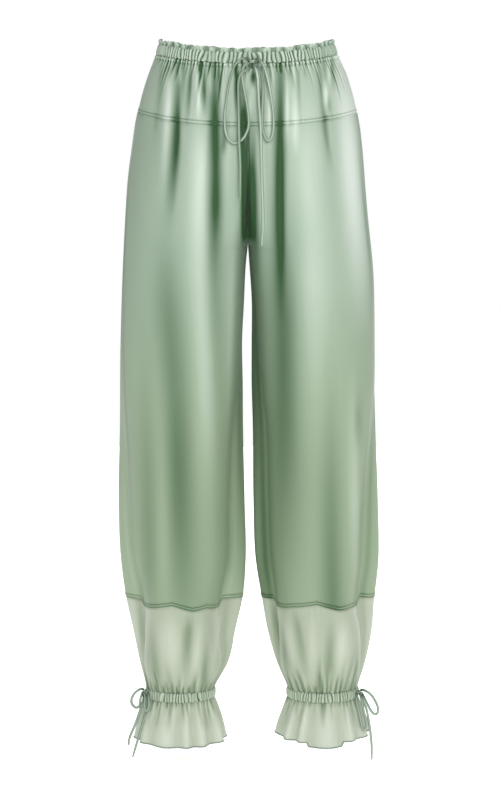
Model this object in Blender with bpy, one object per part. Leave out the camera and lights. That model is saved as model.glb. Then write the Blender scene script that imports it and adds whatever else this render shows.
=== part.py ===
# Wide drawstring trousers in satin with gathered organza ankles, filled out as worn.
# The front faces -Y and +Z is up. L is the viewer's left (-X) and R the viewer's right (+X).
# The origin is the centre of the waist ring, where the wearer holds the trousers up.
# Sizes and tables are in millimetres and turned into metres as each mesh is made.

from math import cos, pi, sin

import bmesh
import bpy
import numpy as np

MM = 0.001

# Walls and seams
GAP = 0.3                 # between neighbouring pieces at a seam
HALF_GAP = GAP / 2
SIDE_SEAM_TURN = 0.001    # half a seam gap at the body's side, as a turn about its axis
SATIN_WALL = 2.4
ORGANZA_WALL = 1.0
CASING_WALL = 2.2         # two layers with elastic between them
BAND_RAISE = 0.8          # how far a double-stitched seam band stands proud
BAND_HEIGHT = 6.8
BAND_STEP = 0.5           # over this height the band rises out of the panel

# Heights at the side of the body, from the waist down
FRILL_TOP = 13.0
CASING_TOP = 7.3
CASING_BOTTOM = -7.2
YOKE_SEAM = -89.3
CROTCH = -275.5
SATIN_HEM = -799.3
ANKLE_TOP = -938.5
ANKLE_BOTTOM = -953.5
FRILL_HEM = -1016.0

# How far the waist and the yoke seam dip towards the centre front and the centre back
WAIST_DIP = 11.5
YOKE_DIP = 16.0

# How sharply the fork curve turns, 2 being a quarter of an ellipse
FORK_CURVE = 2.4

# A gathered casing: how far it swells between its stitched edges, and how deep its gathers are there and at an edge
CASING_BULGE = 1.5
GATHER_DEPTH = 1.1
STITCHED_DEPTH = 0.6
CASING_SHOULDER = 3.1     # from an edge to the fullest part
YOKE_GATHER_DEPTH = 0.7   # of the fine gathers at the top of the yoke
SHEER_GATHER_DEPTH = 1.3  # of the organza where it meets the ankle casing
SHEER_GATHER_REACH = 60   # how far up these go

# How many gathers and waves go round each ring
WAIST_GATHERS = 64
WAIST_WAVES = 32
ANKLE_GATHERS = 26
ANKLE_FLUTES = 12
FLUTE_COLUMNS = 4
FLUTE_START = 0.5         # where in a flute the first column is, as a turn of the wave

# How far, as a turn, gathers wander to either side of an even spacing, and how often round the ring
WAIST_WANDER = (0.012, 7)
FRILL_WANDER = (0.02, 5)
ANKLE_WANDER = (0.02, 5)
FLUTE_WANDER = (0.05, 3)

# How finely the panels are divided: columns from seam to seam, and heights between the seams
YOKE_COLUMNS = {"front": 48, "back": 36}
LEG_COLUMNS = {"front": 20, "back": 14}
SECTION_POINTS = 160
YOKE_HEIGHTS = (-20, -42, -64)
LEG_HEIGHTS = (-360, -460, -560, -660, -740)
SHEER_HEIGHTS = (-840, -880, -912)


def table(columns, *rows):
    """A table's columns by name."""
    return dict(zip(columns.split(), np.array(rows, float).T))


# The filled-out form at each height: how far it reaches left, right, forward and back, and how square it is
FORM = table(
    "height left right front back square",
    (13, 125, 121, 94, 94, 2.15),
    (0, 127, 123, 94, 94, 2.15),
    (-15, 133.5, 130.5, 97, 98, 2.15),
    (-32, 140.5, 139, 101, 103, 2.15),
    (-54, 148, 146.5, 105.5, 109, 2.15),
    (-90, 157, 155.5, 110, 116, 2.15),
    (-135, 164.5, 162, 111.5, 120, 2.2),
    (-185, 172, 167.5, 111.5, 121, 2.25),
    (-240, 177, 173, 110.5, 118, 2.3),
    (-300, 180.5, 179, 109, 113, 2.35),
    (-420, 184.5, 182.5, 105, 106, 2.4),
    (-540, 186, 187.5, 98, 99, 2.4),
    (-655, 189.5, 192.5, 90, 92, 2.4),
    (-745, 187.5, 193, 82, 85, 2.4),
    (-800, 181, 187.5, 76, 79, 2.4),
    (-850, 171, 184, 67, 69, 2.3),
    (-900, 161, 174, 50, 52, 2.2),
    (-938, 151, 163, 37, 38, 2.1),
)

# Below the crotch: where each leg's inner side is, and how far its front lobe stands in from the two sides
LEG = table(
    "height left right left_in left_out right_in right_out",
    (-275, 0.2, 0.2, 0, 0, 0, 0),
    (-300, 3, 2, 0, 0, 0, 0),
    (-360, 6, 6, 0, 0, 4, 0),
    (-420, 8.5, 6, 0, 0, 8, 0),
    (-480, 7.5, 6, 6, 2, 13, 2),
    (-540, 7, 7.5, 12, 6, 17, 8),
    (-655, 4.5, 8, 20, 14, 20, 20),
    (-745, 3, 11.5, 25, 20, 21, 25),
    (-800, 7.5, 20.5, 34, 28, 20, 27),
    (-850, 19, 29, 22, 16, 13, 16),
    (-900, 30, 43, 7, 5, 4, 5),
    (-938, 50.5, 59.5, 0, 0, 0, 0),
)

# Between these fractions of the depth, the wall steps from the side of the leg to its front lobe
STEP_START = 0.06
STEP_END = 0.38

# Folds that hang down the front and the back: troughs have a positive depth and ridges a negative one
FRONT_FOLDS = table(
    "x_top top x_end end depth width",
    (-126, -10, -137, -75, -2.0, 8),
    (-94, -10, -108, -215, 4.0, 7),
    (-77, -10, -82, -100, 2.0, 5),
    (-60, -10, -56, -95, 2.0, 5),
    (-49, -10, -46, -360, 4.0, 8),
    (-17, -10, -18, -110, 2.0, 5),
    (-6, -10, -3, -150, 2.5, 5),
    (42, -10, 48, -300, 5.0, 8),
    (72, -10, 80, -60, 1.5, 5),
    (98, -10, 117, -135, 3.5, 6),
    (128, -10, 132, -60, 1.5, 5),
    (-60, -190, -58, -790, -3.0, 13),
    (-85, -360, -92, -795, 4.0, 14),
    (-142, -400, -147, -795, 3.0, 10),
    (48, -220, 54, -795, 4.0, 10),
    (95, -120, 105, -795, -2.5, 18),
    (128, -500, 127, -795, 3.5, 10),
)
BACK_FOLDS = table(
    "x_top top x_end end depth width",
    (-118, -10, -132, -120, 3.0, 7),
    (-92, -10, -101, -90, 2.0, 6),
    (-66, -10, -71, -260, 4.0, 9),
    (-38, -10, -34, -105, 2.0, 6),
    (-12, -10, -8, -150, 2.5, 6),
    (20, -10, 17, -95, 2.0, 6),
    (47, -10, 53, -290, 4.5, 9),
    (79, -10, 88, -110, 2.5, 7),
    (108, -10, 121, -170, 3.0, 7),
    (-70, -300, -78, -795, 3.5, 14),
    (-128, -420, -132, -795, 3.0, 12),
    (66, -330, 74, -795, 3.5, 14),
    (125, -380, 138, -795, 3.0, 12),
)

# Folds of the organza, which fan up out of the ankle casings
SHEER_FOLDS = table(
    "x_top top x_end end depth width",
    (-88, -800, -92, -945, 3.5, 8),
    (-122, -840, -114, -945, 2.5, 7),
    (-140, -820, -128, -945, 2.5, 7),
    (-60, -830, -76, -945, 3.0, 7),
    (112, -800, 116, -945, 3.5, 8),
    (76, -840, 90, -945, 2.5, 7),
    (136, -820, 130, -945, 2.5, 7),
    (158, -840, 145, -945, 2.5, 7),
)

# The waves of the waist frill, and how far and how often its edge rises and falls round the waist
WAVES = table(
    "height wave",
    (CASING_TOP + GAP, 0.6),
    (10, 1.3),
    (FRILL_TOP, 2.2),
)
FRILL_LIFT = 0.7
FRILL_LIFTS = 11

# The ankle rings, and how far a frill flares out of them, its depth and how deep its flutes are
ANKLE_CENTRE = {"L": -100.8, "R": 111.3}
ANKLE_HALF = {"L": 50.3, "R": 51.8}
ANKLE_DEPTH = 37
FLARE = table(
    "height flare depth flute",
    (ANKLE_BOTTOM - GAP, 0, ANKLE_DEPTH, 0.8),
    (-965, 3.7, 41, 1.8),
    (-985, 9.7, 48.5, 3.5),
    (FRILL_HEM, 16.2, 56, 5.5),
)

SIGN = {"L": -1, "R": 1}
SIDE = {"L": "left", "R": "right"}

# Ties: widths of the cords, centres and sizes of the knots, and routes that start, and for a loop end, at a knot
WAIST_CORD = 2.8
ANKLE_CORD = 2.6
KNOT_GAP = 0.25           # to the knot's smooth outline, which its facets lie just inside
KNOT_STUB = 2.0           # straight stretch of cord as it leaves a knot
KNOTS = {
    "waist_knot": ((6, -100.1, -16.5), (9.5, 7, 8.5)),
    "ankle_knot_L": ((-151.6, -17.4, -942), (6.5, 6.5, 8)),
    "ankle_knot_R": ((164.4, -17.2, -943), (6.5, 6.5, 8)),
}
ROUTES = {
    "waist_loop_L": (
        (1, -100.5, -14), (-4, -102, -12), (-11, -104.5, -14), (-19, -107, -24), (-25, -110, -42),
        (-29, -113.5, -66), (-32, -115, -92), (-29.5, -115.5, -116), (-20, -116, -127), (-8, -116, -122.5),
        (0, -115.5, -108), (1, -115, -92), (-2.5, -112, -68), (-7, -108.5, -44), (-7.5, -106, -29),
        (-4, -104, -22), (1.2, -102.5, -19),
    ),
    "waist_loop_R": (
        (11, -100.5, -14), (16, -102.5, -14.5), (22, -105.5, -23), (27, -108.5, -39), (31.5, -112.5, -61),
        (35, -115, -88), (35, -115.5, -110), (30.5, -116, -123), (24, -116, -120), (20, -115.5, -104),
        (20, -113, -80), (21, -109, -54), (19, -106, -35), (15.5, -104, -24), (10.8, -102.5, -18.5),
    ),
    "waist_tail_L": (
        (4, -102.1, -22.5), (1, -105.5, -26), (-5, -109.5, -29.5), (-10.5, -111, -35), (-13, -112, -46),
        (-13, -115.5, -66), (-12.5, -119, -92), (-12, -119.5, -125), (-10.5, -119.5, -160), (-11, -119.5, -203),
    ),
    "waist_tail_R": (
        (8.8, -102.1, -22.5), (11, -105.5, -27), (13.5, -109, -38), (14.5, -112.5, -58), (15.5, -116.5, -78),
        (17.5, -119.5, -104), (18.5, -119.8, -140), (19.5, -119.5, -180), (21, -119.5, -236), (19, -119.5, -268),
    ),
    "ankle_loop_outer_L": (
        (-154.7, -17, -939), (-160, -18.5, -937.5), (-168, -19.5, -943), (-173, -20, -952), (-172.5, -20, -960),
        (-167, -20, -965.5), (-161.5, -20, -963), (-160, -19, -953), (-155.8, -18.3, -942.7),
    ),
    "ankle_loop_inner_L": (
        (-153.1, -21.4, -942.5), (-153, -26, -950), (-153.5, -28.5, -960), (-151, -30, -968), (-147, -29, -962),
        (-147, -25.5, -951), (-149.2, -21, -942.7),
    ),
    "ankle_tail_short_L": (
        (-154, -17.8, -945.8), (-155, -22.5, -951), (-159, -24.5, -964), (-167, -25, -988),
        (-176, -24, -1010), (-178, -24, -1022),
    ),
    "ankle_tail_long_L": (
        (-150.5, -19.4, -945.8), (-150.3, -22.8, -953), (-151, -25, -966), (-156, -31, -986),
        (-163, -38, -1008), (-171, -38, -1036),
    ),
    "ankle_loop_outer_R": (
        (167.5, -16.8, -940), (173, -18.5, -939.5), (182, -19.5, -945), (190, -20, -957), (193.5, -20, -968),
        (191, -20, -976), (184, -20, -972), (176.5, -19.5, -958), (168.6, -18.1, -943.7),
    ),
    "ankle_loop_inner_R": (
        (165.9, -21.2, -943.5), (169, -25, -955), (172, -27.5, -970), (175, -29.5, -984), (175, -31, -992),
        (171.5, -32, -996), (168.5, -32, -989), (165.5, -30, -973), (161.5, -26, -956), (162, -20.8, -943.7),
    ),
    "ankle_tail_long_R": (
        (166.8, -17.6, -946.8), (170.5, -20.5, -954), (176, -23, -967), (180.5, -23.5, -990),
        (184, -23.5, -1020), (185, -23.5, -1045),
    ),
}

COLOURS = {
    "satin": (0x9F, 0xB8, 0x9F, 0.32),
    "organza": (0xBC, 0xCC, 0xB2, 0.55),
    "cord": (0xA8, 0xC0, 0xA8, 0.45),
}


def smooth(low, high, value):
    """0 below low, 1 above high and a soft step between them."""
    part = np.clip((value - low) / (high - low), 0, 1)
    return part * part * (3 - 2 * part)


def read(rows, column, height):
    """A table's column at a height, on a smooth curve through its rows."""
    heights = rows["height"][::-1]
    values = rows[column][::-1]
    slopes = np.gradient(values, heights)
    i = int(np.clip(np.searchsorted(heights, height) - 1, 0, len(heights) - 2))
    span = heights[i + 1] - heights[i]
    t = np.clip((height - heights[i]) / span, 0, 1)
    bend = values[i] * (1 + 2 * t) * (1 - t) ** 2 + values[i + 1] * t * t * (3 - 2 * t)
    return bend + span * (slopes[i] * t * (1 - t) ** 2 - slopes[i + 1] * t * t * (1 - t))


def relief(folds, x, height):
    """How far the folds of a table push the cloth out (ridges) or in (troughs)."""
    push = 0.0
    for x_top, top, x_end, end, depth, width in zip(*folds.values()):
        along = (top - height) / (top - end)
        if not 0 < along < 1:
            continue
        centre = x_top + (x_end - x_top) * along
        starts_at_casing = top > CASING_BOTTOM - 5
        rise = 1.0 if starts_at_casing else smooth(0, 0.25, along)
        push -= depth * rise * smooth(0, 0.3, 1 - along) * np.exp(-((x - centre) / width) ** 2)
    return push


def ring_point(height, angle, dip, push=0.0):
    """A point of the body's ring, the angle growing from the centre front to the viewer's right."""
    across, along = sin(angle), cos(angle)
    half = read(FORM, "right" if across > 0 else "left", height)
    depth = read(FORM, "front" if along > 0 else "back", height)
    power = read(FORM, "square", height)
    x = half * np.sign(across) * abs(across) ** (2 / power)
    y = -depth * np.sign(along) * abs(along) ** (2 / power)
    normal = np.array((x / half**2, y / depth**2, 0.0))
    normal /= np.linalg.norm(normal)
    point = np.array((x, y, height - dip * (y / depth) ** 2))
    return point + normal * push, normal


def zigzag(column):
    """1 on the crest of a gather and -1 in its valley, for two columns to a gather."""
    return 1 if column % 2 else -1


def uneven_turns(columns, wander):
    """Angles once round, with gathers closer and further apart as they are on elastic."""
    turns = 2 * pi * np.arange(columns) / columns
    reach, times = wander
    return turns + reach * np.sin(times * turns)


def casing_rows(top, bottom, angles, point):
    """A gathered casing's outer and inner rings, the inner wall plain from edge to edge."""
    outline = ((top, 0, STITCHED_DEPTH), (top - CASING_SHOULDER, CASING_BULGE, GATHER_DEPTH),
               (bottom + CASING_SHOULDER, CASING_BULGE, GATHER_DEPTH), (bottom, 0, STITCHED_DEPTH))
    outer = [[point(height, a, bulge + depth * zigzag(c)) for c, a in enumerate(angles)]
             for height, bulge, depth in outline]
    inner = [[point(height, a, STITCHED_DEPTH * zigzag(c) - CASING_WALL) for c, a in enumerate(angles)]
             for height in (top, bottom)]
    return outer, inner


def waist_casing():
    def point(height, angle, push):
        return ring_point(height, angle, WAIST_DIP, push)[0]

    angles = uneven_turns(2 * WAIST_GATHERS, WAIST_WANDER)
    outer, inner = casing_rows(CASING_TOP, CASING_BOTTOM, angles, point)
    add_wall("waist_casing", outer, inner, True, "satin")


def waist_frill():
    angles = uneven_turns(2 * WAIST_WAVES, FRILL_WANDER)
    outer, inner = [], []
    for height, wave in zip(*WAVES.values()):
        rise = (height - CASING_TOP) / (FRILL_TOP - CASING_TOP)
        for grid, depth in ((outer, 0.0), (inner, SATIN_WALL)):
            row = []
            for c, a in enumerate(angles):
                point, _ = ring_point(height, a, WAIST_DIP, wave * zigzag(c) - depth)
                point[2] += FRILL_LIFT * rise * sin(FRILL_LIFTS * a)
                row.append(point)
            grid.append(row)
    add_wall("waist_frill", outer, inner, True, "satin")


def yoke(half, folds, middle):
    """One half of the yoke, from side seam to side seam about its middle angle."""
    band_top = YOKE_SEAM + BAND_HEIGHT
    rows = [(height, 0) for height in (CASING_BOTTOM - GAP, *YOKE_HEIGHTS, band_top + BAND_STEP)]
    rows += [(band_top, BAND_RAISE), (YOKE_SEAM, BAND_RAISE)]
    quarter = pi / 2 - SIDE_SEAM_TURN
    columns = YOKE_COLUMNS[half]
    angles = middle + np.linspace(-quarter, quarter, columns)
    outer, inner = [], []
    for height, raised in rows:
        fall = (CASING_BOTTOM - height) / (CASING_BOTTOM - YOKE_SEAM)
        dip = WAIST_DIP + (YOKE_DIP - WAIST_DIP) * max(fall, 0)
        fine = YOKE_GATHER_DEPTH * (1 - smooth(0, 0.35, fall))
        outside, inside = [], []
        for c, a in enumerate(angles):
            base, normal = ring_point(height, a, dip)
            push = relief(folds, base[0], height) * abs(normal[1])
            if 0 < c < columns - 1:
                push += fine * zigzag(c)
            outside.append(base + normal * (push + raised))
            inside.append(base + normal * (push - SATIN_WALL))
        outer.append(outside)
        inner.append(inside)
    add_wall(f"yoke_{half}", outer, inner, False, "satin")


def leg_section(side, half, height):
    """A leg's half section at a height, from the fork or the inseam to the side seam, with its normals.

    Here x grows from the centre outwards on either leg, and y is the way the panel faces.
    """
    outer = read(FORM, SIDE[side], height)
    depth = read(FORM, half, height)
    power = read(FORM, "square", height)
    fallen = np.clip((YOKE_SEAM - height) / (YOKE_SEAM - CROTCH), 0, 1)
    if fallen < 1:
        # Above the crotch the section is cut off at the centre seam, ever closer to the crotch point
        reach = (1 - fallen**FORK_CURVE) ** (1 / FORK_CURVE)
        inside = outer + (outer / 2 - outer) * fallen
        centre = inside * (1 - reach**power) ** (1 / power)
        start = np.arccos(min((centre / inside) ** (power / 2), 1))
        step_in = step_out = 0.0
    else:
        inner = read(LEG, SIDE[side], height)
        centre = (inner + outer) / 2
        inside = (outer - inner) / 2
        start = 0.0
        step_in = read(LEG, SIDE[side] + "_in", height) if half == "front" else 0.0
        step_out = read(LEG, SIDE[side] + "_out", height) if half == "front" else 0.0
    angle = np.linspace(start, pi, SECTION_POINTS)
    y = depth * np.sin(angle) ** (2 / power)
    stepped = smooth(STEP_START, STEP_END, y / depth)
    reach_in = inside - step_in * stepped
    reach_out = outer - centre - step_out * stepped
    turn = np.abs(np.cos(angle)) ** (2 / power)
    x = centre + np.where(angle < pi / 2, -reach_in, reach_out) * turn
    x = np.maximum(x, HALF_GAP)
    y = np.maximum(y, HALF_GAP)
    slope_x, slope_y = np.gradient(x), np.gradient(y)
    length = np.hypot(slope_x, slope_y)
    length[length == 0] = 1
    return x, y, -slope_y / length, slope_x / length


def leg_rows(side, half, heights, columns, fold_push, top_dip):
    """Outer and inner grids of one panel of a leg, from its fold function."""
    facing = -1 if half == "front" else 1
    sign = SIGN[side]
    outer, inner = [], []
    for height, raised, wall in heights:
        x, y, nx, ny = leg_section(side, half, height)
        run = np.concatenate(([0], np.cumsum(np.hypot(np.diff(x), np.diff(y)))))
        stops = np.linspace(0, run[-1], columns)
        x, y, nx, ny = (np.interp(stops, run, values) for values in (x, y, nx, ny))
        depth = read(FORM, half, height)
        sink = top_dip * (1 - smooth(-YOKE_SEAM, -CROTCH, -height))
        outside, inside = [], []
        for c in range(columns):
            at_edge = c in (0, columns - 1)
            push = 0.0 if at_edge else fold_push(sign * x[c], height, c) * abs(ny[c])
            z = height - sink * (y[c] / depth) ** 2
            for grid, out in ((outside, push + raised), (inside, push - wall)):
                px = max(x[c] + nx[c] * out, HALF_GAP)
                py = max(y[c] + ny[c] * out, HALF_GAP)
                grid.append((sign * px, facing * py, z))
        outer.append(outside)
        inner.append(inside)
    return outer, inner


def satin_leg(side, half, folds):
    """A satin leg panel, from the yoke seam to the band that joins the organza."""
    top = YOKE_SEAM - GAP
    band_top = SATIN_HEM + BAND_HEIGHT
    fork = [top - (top - CROTCH) * sin(a * pi / 8) ** (2 / FORK_CURVE) for a in range(4)]
    heights = [(height, 0.0, SATIN_WALL) for height in (*fork, CROTCH, *LEG_HEIGHTS, band_top + BAND_STEP)]
    heights += [(height, BAND_RAISE, SATIN_WALL) for height in (band_top, SATIN_HEM)]

    def fold_push(x, height, column):
        return relief(folds, x, height)

    outer, inner = leg_rows(side, half, heights, LEG_COLUMNS[half], fold_push, YOKE_DIP)
    add_wall(f"leg_{half}_{side}", outer, inner, False, "satin")


def sheer_leg(side, half):
    """An organza panel, gathered into the ankle casing at its lower edge."""
    columns = ANKLE_GATHERS + 1
    heights = [(height, 0.0, ORGANZA_WALL) for height in (SATIN_HEM - GAP, *SHEER_HEIGHTS, ANKLE_TOP + GAP)]

    def fold_push(x, height, column):
        gathered = 1 - smooth(0, SHEER_GATHER_REACH, height - ANKLE_TOP)
        return relief(SHEER_FOLDS, x, height) + SHEER_GATHER_DEPTH * gathered * zigzag(column)

    outer, inner = leg_rows(side, half, heights, columns, fold_push, 0.0)
    add_wall(f"sheer_{half}_{side}", outer, inner, False, "organza")


def ankle_ring(side, height, flare, depth, angle, push):
    """A point of an ankle's ring about the leg's own centre line."""
    half = ANKLE_HALF[side] + flare
    normal = np.array((cos(angle) / half, sin(angle) / depth, 0.0))
    normal /= np.linalg.norm(normal)
    centre = np.array((ANKLE_CENTRE[side], 0.0, height))
    return centre + (half * cos(angle), depth * sin(angle), 0) + normal * push


def ankle_casing(side):
    def point(height, angle, push):
        return ankle_ring(side, height, 0, ANKLE_DEPTH, angle, push)

    angles = uneven_turns(2 * ANKLE_GATHERS, ANKLE_WANDER)
    outer, inner = casing_rows(ANKLE_TOP, ANKLE_BOTTOM, angles, point)
    add_wall(f"ankle_casing_{side}", outer, inner, True, "organza")


def ankle_frill(side):
    angles = uneven_turns(FLUTE_COLUMNS * ANKLE_FLUTES, FLUTE_WANDER)
    crests = np.sin(2 * pi * np.arange(len(angles)) / FLUTE_COLUMNS + FLUTE_START)
    outer, inner = [], []
    for height, flare, depth, flute in zip(*FLARE.values()):
        for grid, wall in ((outer, 0.0), (inner, ORGANZA_WALL)):
            grid.append([ankle_ring(side, height, flare, depth, a, flute * crest - wall)
                         for a, crest in zip(angles, crests)])
    add_wall(f"ankle_frill_{side}", outer, inner, True, "organza")


def smooth_route(points, count, stubs):
    """Points on a smooth curve through a route's own points: evenly spaced, but for the stubs at a knot."""
    points = np.array(points, float)
    padded = np.vstack((2 * points[0] - points[1], points, 2 * points[-1] - points[-2]))
    fine = []
    for a, b, c, d in zip(padded, padded[1:], padded[2:], padded[3:]):
        for t in np.arange(0, 1, 0.05):
            fine.append(0.5 * (2 * b + (c - a) * t + (2 * a - 5 * b + 4 * c - d) * t**2
                               + (3 * b - 3 * c + d - a) * t**3))
    fine = np.array(fine + [points[-1]])
    run = np.concatenate(([0], np.cumsum(np.linalg.norm(np.diff(fine, axis=0), axis=1))))
    end = run[-1] - KNOT_STUB * (stubs - 1)
    stops = np.concatenate(([0], np.linspace(KNOT_STUB, end, count), [run[-1]] * (stubs - 1)))
    return np.column_stack([np.interp(stops, run, fine[:, axis]) for axis in range(3)])


def leave_knot(point, centre, size):
    """Where a cord leaves its knot towards a point, and the end of its straight stub there."""
    half = np.array(size) / 2
    away = np.array(point, float) - centre
    away /= np.linalg.norm(away / half)
    unit = away / half**2
    unit /= np.linalg.norm(unit)
    return centre + away + unit * KNOT_GAP, centre + away + unit * (KNOT_GAP + KNOT_STUB)


def knotted(name, route):
    """A cord's route with its ends brought to its knot."""
    owner = "waist_knot" if name.startswith("waist") else "ankle_knot_" + name[-1]
    centre, size = KNOTS[owner]
    points = [*leave_knot(route[0], centre, size), *route[1:]]
    if "loop" in name:
        points = [*points[:-1], *reversed(leave_knot(route[-1], centre, size))]
    return points


def tie_cord(name, route, width, count):
    curve = bpy.data.curves.new(name, "CURVE")
    curve.dimensions = "3D"
    curve.bevel_depth = width / 2 * MM
    curve.bevel_resolution = 2
    curve.use_fill_caps = True
    points = smooth_route(route, count, 2 if "loop" in name else 1)
    spline = curve.splines.new("POLY")
    spline.points.add(len(points) - 1)
    for target, point in zip(spline.points, points):
        target.co = (*(point * MM), 1)
    add_object(name, curve, "cord")


def knot(name, centre, size):
    """A tight overhand knot: a bead pinched round its waist where the cord turns over itself."""
    shape = bmesh.new()
    bmesh.ops.create_icosphere(shape, subdivisions=2, radius=0.5)
    for vertex in shape.verts:
        x, y, z = vertex.co
        pinch = 1 - 0.14 * np.exp(-((x + 0.6 * z) / 0.12) ** 2)
        vertex.co = [(c + s * p * pinch) * MM for c, s, p in zip(centre, size, (x, y, z))]
    mesh = bpy.data.meshes.new(name)
    shape.to_mesh(mesh)
    shape.free()
    mesh.shade_smooth()
    add_object(name, mesh, "cord")


def add_wall(name, outer, inner, closed, finish):
    """A cloth wall between an outer and an inner grid of points, joined along its edges."""
    shape = bmesh.new()
    outside = [[shape.verts.new(np.array(p) * MM) for p in row] for row in outer]
    inside = [[shape.verts.new(np.array(p) * MM) for p in row] for row in inner]
    columns = len(outer[0])
    steps = columns if closed else columns - 1
    for grid in (outside, inside):
        for upper, lower in zip(grid, grid[1:]):
            for c in range(steps):
                d = (c + 1) % columns
                shape.faces.new((upper[c], upper[d], lower[d], lower[c]))
    for r in (0, -1):
        for c in range(steps):
            d = (c + 1) % columns
            shape.faces.new((outside[r][c], outside[r][d], inside[r][d], inside[r][c]))
    if not closed:
        for c in (0, -1):
            for r in range(len(outside) - 1):
                shape.faces.new((outside[r][c], outside[r + 1][c], inside[r + 1][c], inside[r][c]))
    bmesh.ops.recalc_face_normals(shape, faces=shape.faces)
    mesh = bpy.data.meshes.new(name)
    shape.to_mesh(mesh)
    shape.free()
    mesh.shade_smooth()
    mesh.set_sharp_from_angle(angle=pi / 3)
    add_object(name, mesh, finish)


def add_object(name, data, finish):
    item = bpy.data.objects.new(name, data)
    bpy.context.scene.collection.objects.link(item)
    data.materials.append(cloth_material(name, finish))


def cloth_material(name, finish):
    *colour, roughness = COLOURS[finish]
    linear = [((c / 255 + 0.055) / 1.055) ** 2.4 for c in colour]
    material = bpy.data.materials.new(f"{name}_{finish}")
    material.use_nodes = True
    shader = material.node_tree.nodes["Principled BSDF"]
    shader.inputs["Base Color"].default_value = (*linear, 1)
    shader.inputs["Roughness"].default_value = roughness
    shader.inputs["Metallic"].default_value = 0.0
    return material


def build():
    for item in list(bpy.data.objects):
        bpy.data.objects.remove(item)
    waist_casing()
    waist_frill()
    yoke("front", FRONT_FOLDS, 0.0)
    yoke("back", BACK_FOLDS, pi)
    for side in ("L", "R"):
        satin_leg(side, "front", FRONT_FOLDS)
        satin_leg(side, "back", BACK_FOLDS)
        sheer_leg(side, "front")
        sheer_leg(side, "back")
        ankle_casing(side)
        ankle_frill(side)
    for name, (centre, size) in KNOTS.items():
        knot(name, centre, size)
    for name, route in ROUTES.items():
        width, count = (WAIST_CORD, 22) if name.startswith("waist") else (ANKLE_CORD, 13)
        tie_cord(name, knotted(name, route), width, count)


build()
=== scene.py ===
# Wide satin drawstring trousers with gathered organza ankles, filled out as worn.
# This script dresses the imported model: fine cloth, gathers, stitching, ties, studio and camera.
# Tables are in millimetres and meshes in metres. The front faces -Y and +Z is up.
# L is the viewer's left (-X) and R the viewer's right (+X).
from math import pi, radians

import bmesh
import bpy
import numpy as np
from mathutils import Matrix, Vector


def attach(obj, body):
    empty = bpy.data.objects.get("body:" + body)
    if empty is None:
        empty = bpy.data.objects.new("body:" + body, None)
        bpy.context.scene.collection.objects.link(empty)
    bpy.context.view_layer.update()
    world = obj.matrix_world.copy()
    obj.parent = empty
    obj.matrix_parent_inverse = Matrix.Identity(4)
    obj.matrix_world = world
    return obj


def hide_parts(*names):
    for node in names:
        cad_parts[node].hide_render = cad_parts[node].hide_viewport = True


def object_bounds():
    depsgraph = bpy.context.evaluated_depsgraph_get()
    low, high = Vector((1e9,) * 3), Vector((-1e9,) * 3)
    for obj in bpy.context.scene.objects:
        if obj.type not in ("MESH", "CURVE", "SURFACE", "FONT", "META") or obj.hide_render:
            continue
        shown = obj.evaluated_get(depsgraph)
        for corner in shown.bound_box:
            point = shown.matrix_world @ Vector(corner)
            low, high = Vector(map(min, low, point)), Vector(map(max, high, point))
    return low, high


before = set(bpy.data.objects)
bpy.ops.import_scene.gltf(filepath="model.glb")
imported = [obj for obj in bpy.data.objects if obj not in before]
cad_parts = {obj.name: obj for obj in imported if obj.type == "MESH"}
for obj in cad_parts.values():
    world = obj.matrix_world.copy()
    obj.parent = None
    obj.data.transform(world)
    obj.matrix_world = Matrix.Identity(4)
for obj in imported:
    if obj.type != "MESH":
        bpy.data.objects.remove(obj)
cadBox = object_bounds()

mm = 0.001
signOf = {"L": -1, "R": 1}
sideOf = {"L": "left", "R": "right"}


# Small helpers

def smooth(low, high, value):
    # 0 below low, 1 above high, a soft step between them
    part = np.clip((value - low) / (high - low), 0, 1)
    return part * part * (3 - 2 * part)


def table(columns, *rows):
    # a table's columns by name
    return dict(zip(columns.split(), np.array(rows, float).T))


def read(rows, column, height):
    # a table's column at one height or many, on a smooth curve through its rows
    heights = rows["height"][::-1]
    values = rows[column][::-1]
    slopes = np.gradient(values, heights)
    i = np.clip(np.searchsorted(heights, height) - 1, 0, len(heights) - 2)
    span = heights[i + 1] - heights[i]
    t = np.clip((height - heights[i]) / span, 0, 1)
    bend = values[i] * (1 + 2 * t) * (1 - t) ** 2 + values[i + 1] * t * t * (3 - 2 * t)
    return bend + span * (slopes[i] * t * (1 - t) ** 2 - slopes[i + 1] * t * t * (1 - t))


def bell(offset, width):
    # 1 in the middle, nearly 0 at twice the width to either side
    return np.exp(-((offset / width) ** 2))


def waves(angle, terms):
    # sine waves added up, each with its height, its times round and its start
    return sum(high * np.sin(times * angle + start) for high, times, start in terms)


def allRound(count):
    return 2 * pi * np.arange(count) / count


def unit(vectors):
    return vectors / np.linalg.norm(vectors, axis=-1, keepdims=True)


def runOf(line):
    # how far along a line each of its points is
    return np.concatenate(([0], np.cumsum(np.linalg.norm(np.diff(line, axis=0), axis=1))))


def pointsAt(line, run, stops):
    # a line's points, or its normals, at some lengths along it
    return np.column_stack([np.interp(stops, run, column) for column in line.T])

def linear(hexColour):
    # an sRGB hex colour as Blender's linear RGBA
    parts = [int(hexColour[i:i + 2], 16) / 255 for i in (0, 2, 4)]
    return [p / 12.92 if p <= 0.04045 else ((p + 0.055) / 1.055) ** 2.4 for p in parts] + [1.0]


def addNode(tree, kind, inputs=None, **settings):
    # a shader node with its settings and its input values or links
    node = tree.nodes.new(kind)
    for name, value in settings.items():
        setattr(node, name, value)
    for name, value in (inputs or {}).items():
        if isinstance(value, bpy.types.NodeSocket):
            tree.links.new(value, node.inputs[name])
        else:
            node.inputs[name].default_value = value
    return node


def newMaterial(name):
    material = bpy.data.materials.new(name)
    material.use_nodes = True
    tree = material.node_tree
    tree.nodes.clear()
    return material, tree


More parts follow.
